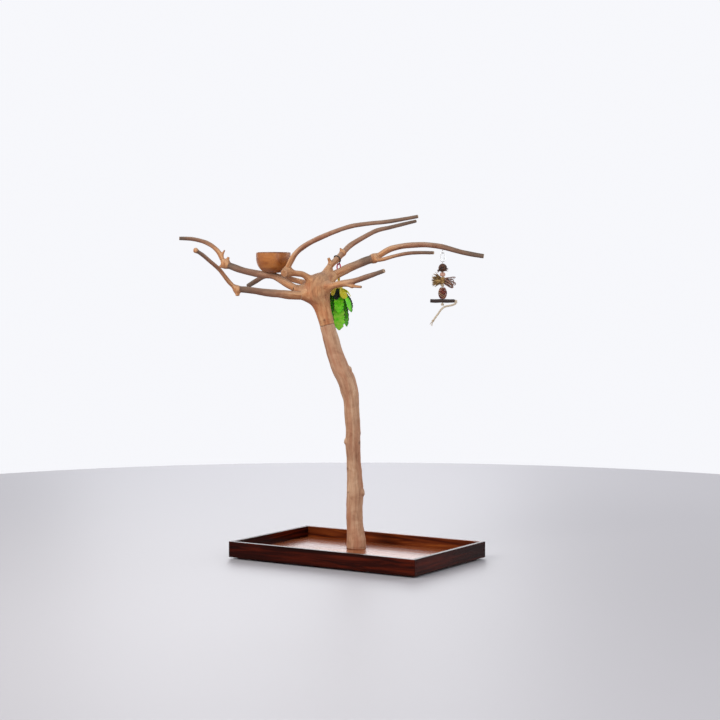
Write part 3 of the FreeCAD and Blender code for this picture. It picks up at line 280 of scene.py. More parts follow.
class Paint(Nodes):
    """A node material in the making."""

    def __init__(self, name):
        self.material = bpy.data.materials.new(name)
        self.material.use_nodes = True
        super().__init__(self.material.node_tree)
        self.shader = self.tree.nodes["Principled BSDF"]

    def set(self, socket, value):
        self.feed(value, self.shader.inputs[socket])

    def attribute(self, name, output="Fac"):
        return self.node("Attribute", attribute_name=name).outputs[output]

    def place(self):
        return self.node("TexCoord").outputs["Object"]

    def stretched(self, vector, scale, turn=(0, 0, 0), offset=(0, 0, 0)):
        inputs = {"Vector": vector, "Scale": scale, "Rotation": turn, "Location": offset}
        return self.node("Mapping", inputs).outputs["Vector"]

    def noise(self, vector, scale, detail=4.0, roughness=0.6, distortion=0.0):
        inputs = {"Vector": vector, "Scale": scale, "Detail": detail, "Roughness": roughness}
        return self.node("TexNoise", {**inputs, "Distortion": distortion}).outputs["Fac"]

    def figure(self, vector, stretch, detail, roughness=0.6, distortion=0.0, turn=(0, 0, 0)):
        """Noise that is drawn out: the stretch is its scale along each axis."""
        return self.noise(self.stretched(vector, stretch, turn), 1.0, detail, roughness, distortion)

    def cells(self, vector, scale):
        return self.node("TexVoronoi", {"Vector": vector, "Scale": scale}).outputs["Distance"]

    def waves(self, vector, scale, distortion, **kind):
        inputs = {"Vector": vector, "Scale": scale, "Distortion": distortion, "Detail": 3.0}
        return self.node("TexWave", inputs, **kind).outputs["Fac"]

    def ramp(self, factor, stops):
        node = self.node("ValToRGB", {"Fac": factor})
        ramp = node.color_ramp
        while len(ramp.elements) < len(stops):
            ramp.elements.new(0.5)
        for element, (place, colour) in zip(ramp.elements, stops):
            element.position = place
            element.color = (*colour, 1)
        return node.outputs["Color"]

    def mix(self, factor, first, second):
        node = self.node("Mix", data_type="RGBA")
        sockets = [s for s in node.inputs if s.enabled]
        for value, socket in zip((factor, first, second), sockets):
            self.feed(value, socket)
        return next(s for s in node.outputs if s.enabled)

    def map(self, value, low, high, new_low=0.0, new_high=1.0):
        inputs = {"Value": value, "From Min": low, "From Max": high}
        return self.node("MapRange", {**inputs, "To Min": new_low, "To Max": new_high}).outputs["Result"]

    def done(self, colour, roughness, *bumps):
        """The finished material. The roughness is a number, or a pattern and the values at its
        low and high ends. Each bump is a pattern and a depth in metres."""
        self.set("Base Color", colour)
        if isinstance(roughness, tuple):
            roughness = self.map(roughness[0], 0.3, 0.7, *roughness[1:])
        self.set("Roughness", roughness)
        normal = None
        for height, depth in bumps:
            inputs = {"Strength": 1.0, "Distance": depth, "Height": height, "Normal": normal}
            normal = self.node("Bump", inputs).outputs["Normal"]
        self.set("Normal", normal)
        return self.material


def srgb(red, green, blue):
    """A colour given as 0 to 255 display values, as the shader's linear ones."""
    shares = [value / 255 for value in (red, green, blue)]
    return tuple(s / 12.92 if s <= 0.04045 else ((s + 0.055) / 1.055) ** 2.4 for s in shares)


def stops_of(*pairs):
    """Colour stops, each a place and a colour in display values."""
    return [(place, srgb(*colour)) for place, colour in pairs]


def tree_paint(name, pale, mid, deep, red):
    """Sandblasted coffee wood: streaks along the grain, blotches, dark pits and sawn ends."""
    paint = Paint(name)
    grain = paint.attribute("grain", "Vector")
    streaks = paint.figure(grain, (90, 90, 7), 6.0, 0.62, 0.4)
    blotches = paint.noise(paint.place(), 17.0, 5.0, 0.6, 0.8)
    wide = paint.figure(grain, (26, 26, 4), 3.0, 0.5)
    colour = paint.ramp(streaks, stops_of((0.3, deep), (0.5, mid), (0.68, pale)))
    blotch_colour = paint.ramp(blotches, stops_of((0.34, deep), (0.5, mid), (0.66, pale)))
    colour = paint.mix(0.42, colour, blotch_colour)
    colour = paint.mix(paint.map(wide, 0.46, 0.66, 0.0, 0.55), colour, srgb(*red))
    root_colour = paint.ramp(streaks, stops_of(*zip((0.3, 0.5, 0.68), CROWN_WOOD[2::-1])))
    colour = paint.mix(paint.attribute("root"), colour, root_colour)
    # Paler on upward faces and darker, redder on downward ones: painted highlight on top and painted
    # shade underneath.
    top = paint.attribute("top")
    colour = paint.mix(paint.map(top, 0.1, 0.9, 0.0, 0.4), colour, srgb(200, 178, 154))
    colour = paint.mix(paint.map(top, -0.9, 0.1, 0.6, 0.0), colour, srgb(124, 68, 46))
    colour = paint.mix(paint.attribute("age"), colour, srgb(102, 88, 76))
    # Darker in the creases: painted shade in each groove, and where trunk meets crown also a dark joint
    # line.
    colour = paint.mix(paint.attribute("crease"), colour, srgb(112, 50, 34))
    fine = paint.figure(grain, (420, 420, 26), 3.0)
    colour = paint.mix(paint.map(fine, 0.58, 0.72, 0.0, 0.38), colour, srgb(96, 62, 46))
    knot = paint.maths("MULTIPLY", paint.attribute("knot"), 0.75)
    colour = paint.mix(knot, colour, srgb(92, 54, 38))
    flat = paint.stretched(grain, (1, 1, 0))
    rings = paint.waves(flat, 95.0, 2.4, wave_type="RINGS", rings_direction="Z")
    end_colour = paint.ramp(rings, stops_of((0.2, (184, 146, 112)), (0.8, (234, 204, 170))))
    from_pith = paint.node("VectorMath", {0: flat}, operation="LENGTH").outputs["Value"]
    pith = paint.map(from_pith, 0.0022, 0.0042, 0.95, 0.0)
    end_colour = paint.mix(pith, end_colour, srgb(52, 34, 26))
    colour = paint.mix(paint.attribute("end"), colour, end_colour)
    paint.set("Specular IOR Level", 0.3)
    pits = paint.map(paint.cells(paint.stretched(grain, (160, 160, 60)), 1.0), 0.0, 0.4)
    return paint.done(colour, (streaks, 0.78, 0.6), (streaks, 0.0009), (fine, 0.00035), (pits, 0.0004))


def lacquer_paint(name, direction, deep, mid, warm, gloss):
    """Dark red-brown lacquer over open-grained wood. The direction is the grain's axis, X or Y."""
    paint = Paint(name)
    place = paint.place()

    def drawn_out(along, across):
        return (along, across, across) if direction == "X" else (across, along, across)

    figure = paint.figure(place, drawn_out(2.2, 34), 6.0, 0.62, 0.9)
    pores = paint.figure(place, drawn_out(9, 420), 2.0, 0.5)
    colour = paint.ramp(figure, stops_of((0.36, deep), (0.5, mid), (0.66, warm)))
    colour = paint.mix(paint.map(pores, 0.58, 0.7, 0.0, 0.5), colour, srgb(*deep))
    paint.set("Specular IOR Level", gloss)
    paint.set("Specular Tint", (0.85, 0.62, 0.56, 1))
    return paint.done(colour, (figure, 0.3, 0.2), (figure, 0.00006), (pores, 0.00003))


def grained_paint(name, stretch, detail, stops, roughness, depth, distortion=0.0):
    """A plain material whose one pattern sets both its colour and its bumps."""
    paint = Paint(name)
    figure = paint.figure(paint.place(), stretch, detail, 0.6, distortion)
    return paint.done(paint.ramp(figure, stops_of(*stops)), roughness, (figure, depth))


def steel_paint(name, colour, roughness):
    """Zinc-plated steel: a little cloudy, with fine scratches."""
    paint = Paint(name)
    place = paint.place()
    cloud = paint.noise(place, 220.0)
    scratch = paint.figure(place, (900, 900, 90), 2.0)
    darker = tuple(value * 0.72 for value in colour)
    paint.set("Metallic", 1.0)
    shade = paint.ramp(cloud, [(0.35, darker), (0.65, colour)])
    return paint.done(shade, (cloud, roughness * 0.75, roughness * 1.3), (scratch, 0.00003))


def plastic_paint(name, colour, roughness, coat=0.0):
    """Moulded plastic: a faint orange peel and slight wear."""
    paint = Paint(name)
    place = paint.place()
    cloud = paint.noise(place, 90.0)
    colour = srgb(*colour)
    darker = tuple(value * 0.8 for value in colour)
    paint.set("Coat Weight", coat)
    peel = paint.noise(place, 900.0, 2.0, 0.55)
    shade = paint.ramp(cloud, [(0.35, darker), (0.6, colour)])
    return paint.done(shade, (cloud, roughness * 0.8, roughness * 1.25), (peel, 0.00004))


def strap_paint():
    """Dyed leather of one colour, pebbled."""
    paint = Paint("strap_paint")
    place = paint.place()
    cloud = paint.noise(place, 80.0)
    colour = paint.ramp(cloud, stops_of((0.3, (206, 172, 30)), (0.65, (238, 214, 60))))
    return paint.done(colour, 0.5, (paint.cells(place, 700.0), 0.00015))


def bowl_paint(centre):
    """Polished turned wood: bands of heart and sap wood across the bowl, fine turning lines."""
    paint = Paint("bowl_paint")
    place = paint.stretched(paint.place(), (1, 1, 1), offset=tuple(-value for value in centre))
    lean = (0.25, 0.1, 0.6)
    figure = paint.figure(place, (9, 26, 34), 4.0, 0.5, 0.6, lean)
    stops = stops_of((0.3, (126, 66, 28)), (0.5, (170, 100, 46)), (0.7, (192, 122, 62)))
    colour = paint.ramp(figure, stops)
    fine = paint.figure(place, (60, 300, 300), 3.0, turn=lean)
    colour = paint.mix(paint.map(fine, 0.54, 0.72, 0.0, 0.35), colour, srgb(104, 54, 26))
    level = paint.node("SeparateXYZ", {0: place}).outputs["Z"]
    rim = paint.map(level, BOWL_HEIGHT - 0.007, BOWL_HEIGHT - 0.003, 0.0, 0.55)
    colour = paint.mix(rim, colour, srgb(84, 46, 24))
    # Darker towards the bottom: painted shade on the bowl's lower part.
    colour = paint.mix(paint.map(level, 0.0, 0.034, 0.4, 0.0), colour, srgb(104, 54, 22))
    paint.set("Specular IOR Level", 0.35)
    turning = paint.waves(paint.stretched(place, (0, 0, 1)), 420.0, 0.5, bands_direction="Z")
    return paint.done(colour, (figure, 0.36, 0.28), (figure, 0.00004), (turning, 0.00002))


def strand_paint(name, dark, mid, pale, roughness):
    """Leaf, vine or fibre: each strand has its own tone, in the tone attribute, with fine fibres."""
    paint = Paint(name)
    place = paint.place()
    fibres = paint.noise(place, 900.0, 3.0)
    patches = paint.noise(place, 120.0, 3.0)
    mixed = paint.maths("ADD", paint.attribute("tone"), paint.map(patches, 0.3, 0.7, -0.18, 0.18))
    colour = paint.ramp(mixed, stops_of((0.0, dark), (0.5, mid), (1.0, pale)))
    colour = paint.mix(paint.map(fibres, 0.52, 0.68, 0.0, 0.45), colour, srgb(*dark))
    return paint.done(colour, roughness, (fibres, 0.0002), (patches, 0.0003))


def leather_paint(name, dark, mid, pale, edge=None):
    """Dyed leather: pebbled, with veins along each leaf and, where given, a ragged edge colour."""
    paint = Paint(name)
    place = paint.place()
    blade = paint.attribute("blade", "Vector")
    cloud = paint.noise(place, 60.0)
    mixed = paint.maths("ADD", paint.attribute("tone"), paint.map(cloud, 0.3, 0.7, -0.25, 0.25))
    colour = paint.ramp(mixed, [(0.1, dark), (0.5, mid), (0.95, pale)])
    veins = paint.waves(paint.stretched(blade, (1, 1, 0), turn=(0, 0, 0.9)), 11.0, 0.8)
    colour = paint.mix(paint.map(veins, 0.86, 1.0, 0.0, 0.35), colour, dark)
    if edge:
        across = paint.node("SeparateXYZ", {0: blade}).outputs["X"]
        ragged = paint.map(paint.noise(place, 170.0, 2.0, 0.55), 0.3, 0.7, -0.07, 0.07)
        rim = paint.maths("ADD", paint.maths("ABSOLUTE", across), ragged)
        colour = paint.mix(paint.map(rim, 0.44, 0.47), colour, edge)
    paint.set("Specular IOR Level", 0.3)
    return paint.done(colour, (cloud, 0.42, 0.6), (paint.cells(place, 620.0), 0.00018), (veins, 0.0003))


# Camera and stage


def make_camera():
    data = bpy.data.cameras.new("camera")
    data.lens = CAMERA_LENS
    data.sensor_width = SENSOR_WIDTH
    data.clip_end = CAMERA_REACH
    camera = link_object("camera", data)
    camera.location = CAMERA_PLACE
    camera.rotation_euler = (math.pi / 2 - CAMERA_PITCH, 0.0, TREE_TURN)
    bpy.context.scene.camera = camera


def make_floor():
    angles = [2 * math.pi * i / FLOOR_SIDES for i in range(FLOOR_SIDES)]
    ring = [(FLOOR_RADIUS * math.cos(angle), FLOOR_RADIUS * math.sin(angle), 0) for angle in angles]
    floor = link_object("floor", mesh_of("floor", ring, [list(range(FLOOR_SIDES))], smooth=False))
    paint = Paint("floor_paint")
    paint.set("Base Color", FLOOR_COLOUR)
    paint.set("Roughness", 0.5)
    paint.set("Specular IOR Level", 0.3)
    floor.data.materials.append(paint.material)


def make_lights():
    for name, (place, size, power, colour) in LIGHTS.items():
        data = bpy.data.lights.new(name, "AREA")
        data.shape = "SQUARE"
        data.size = size
        data.energy = power
        data.color = colour
        light = link_object(name, data)
        light.location = place
        aim = Vector(LIGHT_TARGET) - Vector(place)
        light.rotation_euler = aim.to_track_quat("-Z", "Y").to_euler()


def make_world():
    """A pale room: what the camera and the gloss see is brighter than what lights the object."""
    world = bpy.data.worlds.new("room")
    world.use_nodes = True
    world.node_tree.nodes.clear()
    nodes = Nodes(world.node_tree)
    path = nodes.node("LightPath").outputs
    glossy = nodes.maths("MAXIMUM", path["Is Glossy Ray"], path["Is Transmission Ray"])
    any_seen = nodes.maths("MAXIMUM", path["Is Camera Ray"], glossy)
    lighting = nodes.node("Background", {"Color": ROOM_LIGHT, "Strength": ROOM_LIGHT_STRENGTH})
    seen = nodes.node("Background", {"Color": BACKGROUND, "Strength": 1.0})
    mix = nodes.node("MixShader", {0: any_seen, 1: lighting.outputs[0], 2: seen.outputs[0]})
    nodes.node("OutputWorld", {"Surface": mix.outputs[0]})
    bpy.context.scene.world = world
    bpy.context.scene.view_settings.view_transform = "Standard"


# Tubes, strands and turned forms


def frames_along(points):
    """Directions and two steady side vectors at each point of a line."""
    ahead = unit(np.gradient(np.asarray(points, float), axis=0))
    start = np.array((0.3, 0.9, 0.2)) if abs(ahead[0][1]) < 0.9 else np.array((1.0, 0.1, 0.2))
    side = unit(np.cross(ahead[0], start))
    sides = []
    for direction in ahead:
        side = unit(side - direction * np.dot(side, direction))
        sides.append(side)
    sides = np.array(sides)
    return ahead, sides, np.cross(ahead, sides)


def side_faces(rings, sides, offset=0, closed=False):
    """Four-sided faces from ring to ring, and from the last ring to the first where closed."""
    faces = []
    for i in range(rings if closed else rings - 1):
        here = offset + i * sides
        there = offset + (i + 1) % rings * sides
        for j in range(sides):
            k = (j + 1) % sides
            faces.append((here + j, here + k, there + k, there + j))
    return faces


def tube_parts(points, radii, sides, offset=0, flatten=1.0):
    """Points and faces of a closed tube, with its faces numbered from the offset."""
    points = np.asarray(points, float)
    _, first, second = frames_along(points)
    angles = np.linspace(0, 2 * math.pi, sides, endpoint=False)
    cosines = np.cos(angles)[None, :, None] * first[:, None, :]
    sines = flatten * np.sin(angles)[None, :, None] * second[:, None, :]
    radii = np.broadcast_to(np.asarray(radii, float), (len(points),))
    spots = (points[:, None, :] + (cosines + sines) * radii[:, None, None]).reshape(-1, 3)
    faces = side_faces(len(points), sides, offset)
    faces.append(tuple(offset + j for j in reversed(range(sides))))
    last = offset + (len(points) - 1) * sides
    faces.append(tuple(last + j for j in range(sides)))
    return spots, faces


def add_strands(name, strands, material, body, slot, node, sides=8):
    """One piece of many tubes; each strand is (points, radii, tone) and maybe its flatness."""
    spots = []
    faces = []
    tones = []
    count = 0
    for points, radii, tone, *flatness in strands:
        tube, tube_faces = tube_parts(points, radii, sides, count, flatness[0] if flatness else 1.0)
        spots.append(tube)
        faces.extend(tube_faces)
        tones.append(np.full(len(tube), tone))
        count += len(tube)
    mesh = mesh_of(name, np.concatenate(spots), faces)
    attribute(mesh, "tone", np.concatenate(tones))
    return add_piece(name, mesh, material, body, slot, node)


def lengths_along(points):
    steps = np.linalg.norm(np.diff(points, axis=0), axis=1)
    return np.concatenate([[0], np.cumsum(steps)])


def rope_strands(path, radius, count, pitch, tone=0.5):
    """Twisted strands that follow a path; the pitch is the length of one full twist."""
    path = np.asarray(path, float)
    lengths = lengths_along(path)
    steps = max(int(lengths[-1] / pitch * 14), 12)
    along = np.linspace(0, lengths[-1], steps)
    spots = np.array([np.interp(along, lengths, path[:, k]) for k in range(3)]).T
    _, first, second = frames_along(spots)
    strand_radius = radius * math.sin(math.pi / count) / (1 + math.sin(math.pi / count))
    strands = []
    for i in range(count):
        angle = 2 * math.pi * (along / pitch + i / count)
        offset = np.cos(angle)[:, None] * first + np.sin(angle)[:, None] * second
        shade = tone + 0.12 * (i - (count - 1) / 2)
        strands.append((spots + offset * (radius - strand_radius), strand_radius * 1.12, shade))
    return strands


def lathe_ring(name, profile, centre, sides):
    """A turned form with a hole through it: the outline's last point is its first."""
    spots = []
    for radius, height in profile[:-1]:
        for j in range(sides):
            angle = 2 * math.pi * j / sides
            round_it = (radius * math.cos(angle), radius * math.sin(angle), height)
            spots.append(tuple(c + r for c, r in zip(centre, round_it)))
    return mesh_of(name, spots, side_faces(len(profile) - 1, sides, closed=True))


# Wood of the tree


def between(before, start, end, after, share):
    low = (end - before) * 0.5
    high = (after - start) * 0.5
    cubic = start * 2 - end * 2 + low + high
    square = end * 3 - start * 3 - low * 2 - high
    return start + low * share + square * share**2 + cubic * share**3


def smooth_line(points, radii):
    """A smooth curve through the points, in LINE_STEPS steps a stretch."""
    points = [np.array(point, float) for point in points]
    spots = []
    sizes = []
    for i in range(len(points) - 1):
        before = points[max(i - 1, 0)]
        after = points[min(i + 2, len(points) - 1)]
        for step in range(LINE_STEPS):
            share = step / LINE_STEPS
            spots.append(between(before, points[i], points[i + 1], after, share))
            sizes.append(radii[i] + (radii[i + 1] - radii[i]) * share)
    return np.array(spots + [points[-1]]), np.array(sizes + [radii[-1]])


def smooth_row(row):
    """The smooth curve through a table's rows of x, y, z and radius, in millimetres."""
    row = mm(row)
    return smooth_line(row[:, :3], list(row[:, 3]))


def tapered(points, root, tip):
    """Radii from root to tip along the points, a little fuller at every second one."""
    lengths = lengths_along(np.asarray(points, float))
    radii = root + (tip - root) * lengths / lengths[-1]
    swollen = [0 < i < len(points) - 1 and i % 2 == 1 for i in range(len(points))]
    return np.where(swollen, radii * (1 + NODE_SWELL), radii)


class Bough:
    """A round run of wood with a radius at each point, and flat sawn ends where wanted."""

    def __init__(self, points, radii, flat_start=False, flat_end=False):
        self.points = turned(points)
        self.radii = np.asarray(radii, float)
        self.flat_start = flat_start
        self.flat_end = flat_end
        self.along = lengths_along(self.points)
        self.ahead, self.first, self.second = frames_along(self.points)

    def measure(self, places):
        """How far each place is outside the wood, and its (side, side, along) grain coordinates."""
        best = np.full(len(places), np.inf)
        grain = np.zeros((len(places), 3))
        for i in range(len(self.points) - 1):
            run = self.points[i + 1] - self.points[i]
            length = np.linalg.norm(run)
            share = np.clip((places - self.points[i]) @ run / length**2, 0, 1)
            offset = places - self.points[i] - share[:, None] * run
            radius = self.radii[i] + (self.radii[i + 1] - self.radii[i]) * share
            distance = np.linalg.norm(offset, axis=1) - radius
            nearer = distance < best
            best[nearer] = distance[nearer]
            here = (offset @ self.first[i], offset @ self.second[i], self.along[i] + share * length)
            grain[nearer] = np.stack(here, axis=1)[nearer]
        if self.flat_start:
            best = soft_most(best, -(places - self.points[0]) @ self.ahead[0], EDGE_ROUND)
        if self.flat_end:
            best = soft_most(best, (places - self.points[-1]) @ self.ahead[-1], EDGE_ROUND)
        return best, grain


def soft_least(first, second, reach):
    near = np.maximum(reach - np.abs(first - second), 0) / reach
    return np.minimum(first, second) - near**2 * reach / 4


def soft_most(first, second, reach):
    return -soft_least(-first, -second, reach)


def measure_all(boughs, places, fillet):
    """The filleted union of the boughs, the nearest one's grain, and how near a fork is (0 to 1)."""
    total, grain = boughs[0].measure(places)
    nearest = total.copy()
    gap = np.full(len(places), np.inf)
    for bough in boughs[1:]:
        distance, its_grain = bough.measure(places)
        total = soft_least(total, distance, fillet)
        gap = np.minimum(gap, np.abs(distance - nearest))
        nearer = distance < nearest
        nearest = np.where(nearer, distance, nearest)
        grain[nearer] = its_grain[nearer]
    return total, grain, np.clip(1 - gap / fillet, 0, 1)


def rough_union(name, boughs, voxel):
    """One closed mesh of even small faces round all the boughs."""
    spots = []
    faces = []
    count = 0
    for bough in boughs:
        tube, tube_faces = tube_parts(bough.points, bough.radii, TUBE_SIDES, count)
        spots.append(tube)
        faces.extend(tube_faces)
        count += len(tube)
    rough = link_object("rough", mesh_of("rough", np.concatenate(spots), faces))
    remesh = rough.modifiers.new("remesh", "REMESH")
    remesh.mode = "VOXEL"
    remesh.voxel_size = voxel
    graph = bpy.context.evaluated_depsgraph_get()
    mesh = bpy.data.meshes.new_from_object(rough.evaluated_get(graph))
    bpy.data.objects.remove(rough)
    mesh.name = name
    return mesh


def relaxed(mesh, places, share):
    """Each point moved by a share towards the middle of its neighbours."""
    edges = np.empty(len(mesh.edges) * 2, np.int32)
    mesh.edges.foreach_get("vertices", edges)
    edges = edges.reshape(-1, 2)
    total = np.zeros_like(places)
    count = np.zeros(len(places))
    for here, there in ((0, 1), (1, 0)):
        np.add.at(total, edges[:, here], places[edges[:, there]])
        np.add.at(count, edges[:, here], 1)
    return places + (total / count[:, None] - places) * share


def settle(mesh, boughs, fillet):
    """Smooth the mesh and bring it onto the boughs' surface."""
    places = vectors_of(mesh.vertices, "co")
    for i in range(SETTLE_ROUNDS):
        if i < SETTLE_ROUNDS - 2:
            places = relaxed(mesh, places, 0.5)
        place_points(mesh, places)
        distance, _, _ = measure_all(boughs, places, fillet)
        places = places - vectors_of(mesh.vertex_normals, "vector") * (distance * 0.9)[:, None]
    place_points(mesh, places)
    return places


def sawn(boughs, places, normals):
    """Where the flat sawn ends are, 0 to 1."""
    end = np.zeros(len(places))
    for bough in boughs:
        for flat, i, sign in ((bough.flat_start, 0, -1), (bough.flat_end, -1, 1)):
            if flat:
                beyond = np.abs((places - bough.points[i]) @ bough.ahead[i])
                level = np.clip(1 - beyond / 0.0016, 0, 1)
                near = np.linalg.norm(places - bough.points[i], axis=1) < bough.radii[i] * 1.25
                facing = np.clip((normals @ bough.ahead[i] * sign - 0.55) / 0.3, 0, 1)
                end = np.maximum(end, near * level * facing)
    return end


def knots_on(bough, spacing, seed):
    """Chosen places on the wood with a small knot each: (place, reach, height)."""
    draw = random.Random(seed).uniform
    found = []
    length = bough.along[-1]
    for _ in range(int(length / spacing)):
        along = draw(0.08, 0.92) * length
        i = min(int(np.searchsorted(bough.along, along)), len(bough.points) - 1)
        angle = draw(0, 2 * math.pi)
        out = math.cos(angle) * bough.first[i] + math.sin(angle) * bough.second[i]
        radius = bough.radii[i]
        reach = draw(0.22, 0.42) * radius
        found.append((bough.points[i] + out * radius, reach, draw(0.5, 1.0) * KNOT_HEIGHT * radius))
    return found


def wood_mesh(name, boughs, voxel, fillet, seed, creases=(), ages=1.0, roots=0):
    """The boughs as weathered wood: filleted forks, lumps, flutes, knots, and sawn ends."""
    mesh = rough_union(name, boughs, voxel)
    places = settle(mesh, boughs, fillet)
    normals = vectors_of(mesh.vertex_normals, "vector")
    _, grain, fork = measure_all(boughs, places, fillet)
    size = np.linalg.norm(grain[:, :2], axis=1)
    end = sawn(boughs, places, normals)
    lump = noise_at(places, 24.0, seed % 5) + 0.5 * noise_at(places, 55.0, seed % 5 + 9)
    flute = noise_at(grain * np.array((130.0, 130.0, 12.0)), 1.0, seed)
    ring = noise_at(grain * np.array((14.0, 14.0, 120.0)), 1.0, seed + 3)
    height = lump * size * LUMP_SHARE * 0.6 + (flute + 0.45 * ring) * FLUTE_HEIGHT * (1 - fork)
    knot = np.zeros(len(places))
    for place, reach, rise in knots_on(boughs[0], KNOT_SPACING, seed):
        away = np.linalg.norm(places - place, axis=1) / reach
        height += rise * (np.exp(-((away * 0.8) ** 2)) - 0.9 * np.exp(-((away * 2.6) ** 2)))
        knot = np.maximum(knot, np.exp(-((away * 1.7) ** 2)))
    # Each crease cuts a groove, and its shade share darkens the groove's colour as painted shade.
    crease = np.zeros(len(places))
    for along, depth, shade in creases:
        waver = 0.0022 * noise_at(places, 20.0, 3) if shade < 0.5 else 0.0
        strength = 0.65 + 0.35 * noise_at(places, 22.0, 7)
        groove = np.exp(-(((grain[:, 2] - along + waver) / 0.0021) ** 2)) * (1 - fork) * strength
        height -= depth * groove
        crease = np.maximum(crease, groove * shade)
    places = places + normals * (height * (1 - end))[:, None]
    place_points(mesh, places)
    attribute(mesh, "grain", grain)
    attribute(mesh, "knot", knot * (1 - end))
    attribute(mesh, "end", end)
    # How far each point faces up, for the painted highlight on top and the painted shade underneath.
    attribute(mesh, "top", normals[:, 2])
    attribute(mesh, "crease", crease)
    attribute(mesh, "root", np.exp(-((grain[:, 2] / ROOT_WARMTH_LENGTH) ** 2)) * (roots > 0))
    age = aged(grain[:, 2] / boughs[0].along[-1], normals[:, 2], places)
    attribute(mesh, "age", age * (1 - end) * ages)
    mesh.shade_smooth()
    return mesh


def aged(along, upward, places):
    """How grey the wood has weathered: more on top and towards the far end, in patches."""
    patches = 0.5 + 0.5 * noise_at(places, 21.0, 6)
    towards_tip = np.clip((along - 0.35) / 0.65, 0, 1)
    on_top = 0.25 * patches * np.clip(upward, 0, 1)
    return np.clip(1.1 * towards_tip * (0.4 + 0.6 * patches) + on_top, 0, 0.9)


def socket_bough(name):
    start, cut, radii, _ = BRANCHES[name]
    return Bough(mm([start, cut]), mm(radii[:2]), flat_end=True)


def limb_boughs(name):
    """The limb's own run first, then its knuckles, spurs and the sockets of what it carries."""
    _, cut, radii, points = BRANCHES[name]
    line = mm([cut, *points])
    carries = CARRIES.get(name, [])
    spots, radii = smooth_line(line, tapered(line, *mm(radii[1:])))
    boughs = [Bough(spots, radii, flat_start=True, flat_end=not carries)]
    for limb, middle, radius in KNUCKLES:
        if limb == name:
            middle = mm(middle)
            boughs.append(Bough([middle, middle + UP * SMALL_NODE_LENGTH], [mm(radius) * 0.94] * 2))
    return boughs + spur_boughs(name) + [socket_bough(other) for other in carries]


def spur_boughs(name):
    return [
        Bough(mm([start, end]), mm(radii), flat_end=True)
        for limb, start, end, radii in SPURS if limb == name
    ]


def crown_boughs():
    core = Bough(*smooth_row(CROWN_LINE), flat_start=True)
    root = Bough(*smooth_row(ARCH_ROOT), flat_end=True)
    return [core, root] + [socket_bough(name) for name in BRANCHES if name.endswith("_limb")]


def make_tree():
    boughs = [Bough(*smooth_row(TRUNK_LINE), flat_start=True, flat_end=True)] + spur_boughs("trunk")
    creases = [(0.007, 0.0012, 0.7), (boughs[0].along[-1] - 0.0005, 0.0007, 0.9)]
    mesh = wood_mesh("trunk_wood", boughs, TRUNK_VOXEL, TRUNK_FILLET, 11, creases, ages=0.0)
    paint = tree_paint("tree_wood_paint", *TRUNK_WOOD)
    add_piece("trunk_wood", mesh, paint, "stand", "tree_wood", "trunk")
    creases = [(0.0005, 0.0007, 0.9), (0.013, 0.0008, 0.35), (0.022, 0.0006, 0.25)]
    mesh = wood_mesh("crown_wood", crown_boughs(), CROWN_VOXEL, CROWN_FILLET, 12, creases, ages=0.3)
    paint = tree_paint("crown_wood_paint", *CROWN_WOOD)
    add_piece("crown_wood", mesh, paint, "stand", "crown_wood", "crown")
    paint = tree_paint("limb_wood_paint", *LIMB_WOOD)
    for i, name in enumerate(BRANCHES):
        wood = name + "_wood"
        mesh = wood_mesh(wood, limb_boughs(name), LIMB_VOXEL, LIMB_FILLET, 20 + i, roots=1)
        add_piece(wood, mesh, paint, "stand", "tree_wood", name)


# Bowl
BOWL_CENTRE = (-0.354, 0.037, 1.208)
BOWL_RADIUS = 0.0745
BOWL_HEIGHT = 0.088
BOWL_WALL = 0.0065
BOWL_FOOT_RADIUS = 0.024
BOWL_FLAT_RADIUS = 0.0216
BOWL_SIDE_SHARE = 0.72
BOWL_HOLE_RADIUS = 0.0028
BOWL_STEPS = 26
BOWL_SIDES = 128


def bowl_side(radius, floor):
    """The side of the bowl from its flat to its rim, as (radius, height)."""
    top = floor + (BOWL_HEIGHT - floor) * BOWL_SIDE_SHARE
    found = []
    for i in range(BOWL_STEPS + 1):
        angle = math.pi / 2 * i / BOWL_STEPS
        wide = BOWL_FLAT_RADIUS + (radius - BOWL_FLAT_RADIUS) * math.sin(angle)
        found.append((wide, top - (top - floor) * math.cos(angle)))
    return found


def make_bowl():
    centre = turned(BOWL_CENTRE)
    lip = BOWL_WALL / 2
    rim = []
    for i in range(13):
        angle = math.pi * i / 12
        rim.append((BOWL_RADIUS - lip + lip * math.cos(angle), BOWL_HEIGHT - lip + lip * math.sin(angle)))
    foot = [
        (BOWL_HOLE_RADIUS, 0.0), (BOWL_FOOT_RADIUS - 0.001, 0.0), (BOWL_FOOT_RADIUS, 0.001),
        (BOWL_FOOT_RADIUS, 0.0032),
    ]
    side = [point for point in bowl_side(BOWL_RADIUS, 0.0) if point[0] > BOWL_FOOT_RADIUS + 0.0015]
    inner = bowl_side(BOWL_RADIUS - BOWL_WALL, BOWL_WALL)[::-1]
    hole = [(BOWL_HOLE_RADIUS, BOWL_WALL), (BOWL_HOLE_RADIUS, 0.0)]
    mesh = lathe_ring("turned_bowl", foot + side + rim + inner + hole, centre, BOWL_SIDES)
    add_piece("turned_bowl", mesh, bowl_paint(centre), "bowl", "bowl_wood", "bowl")


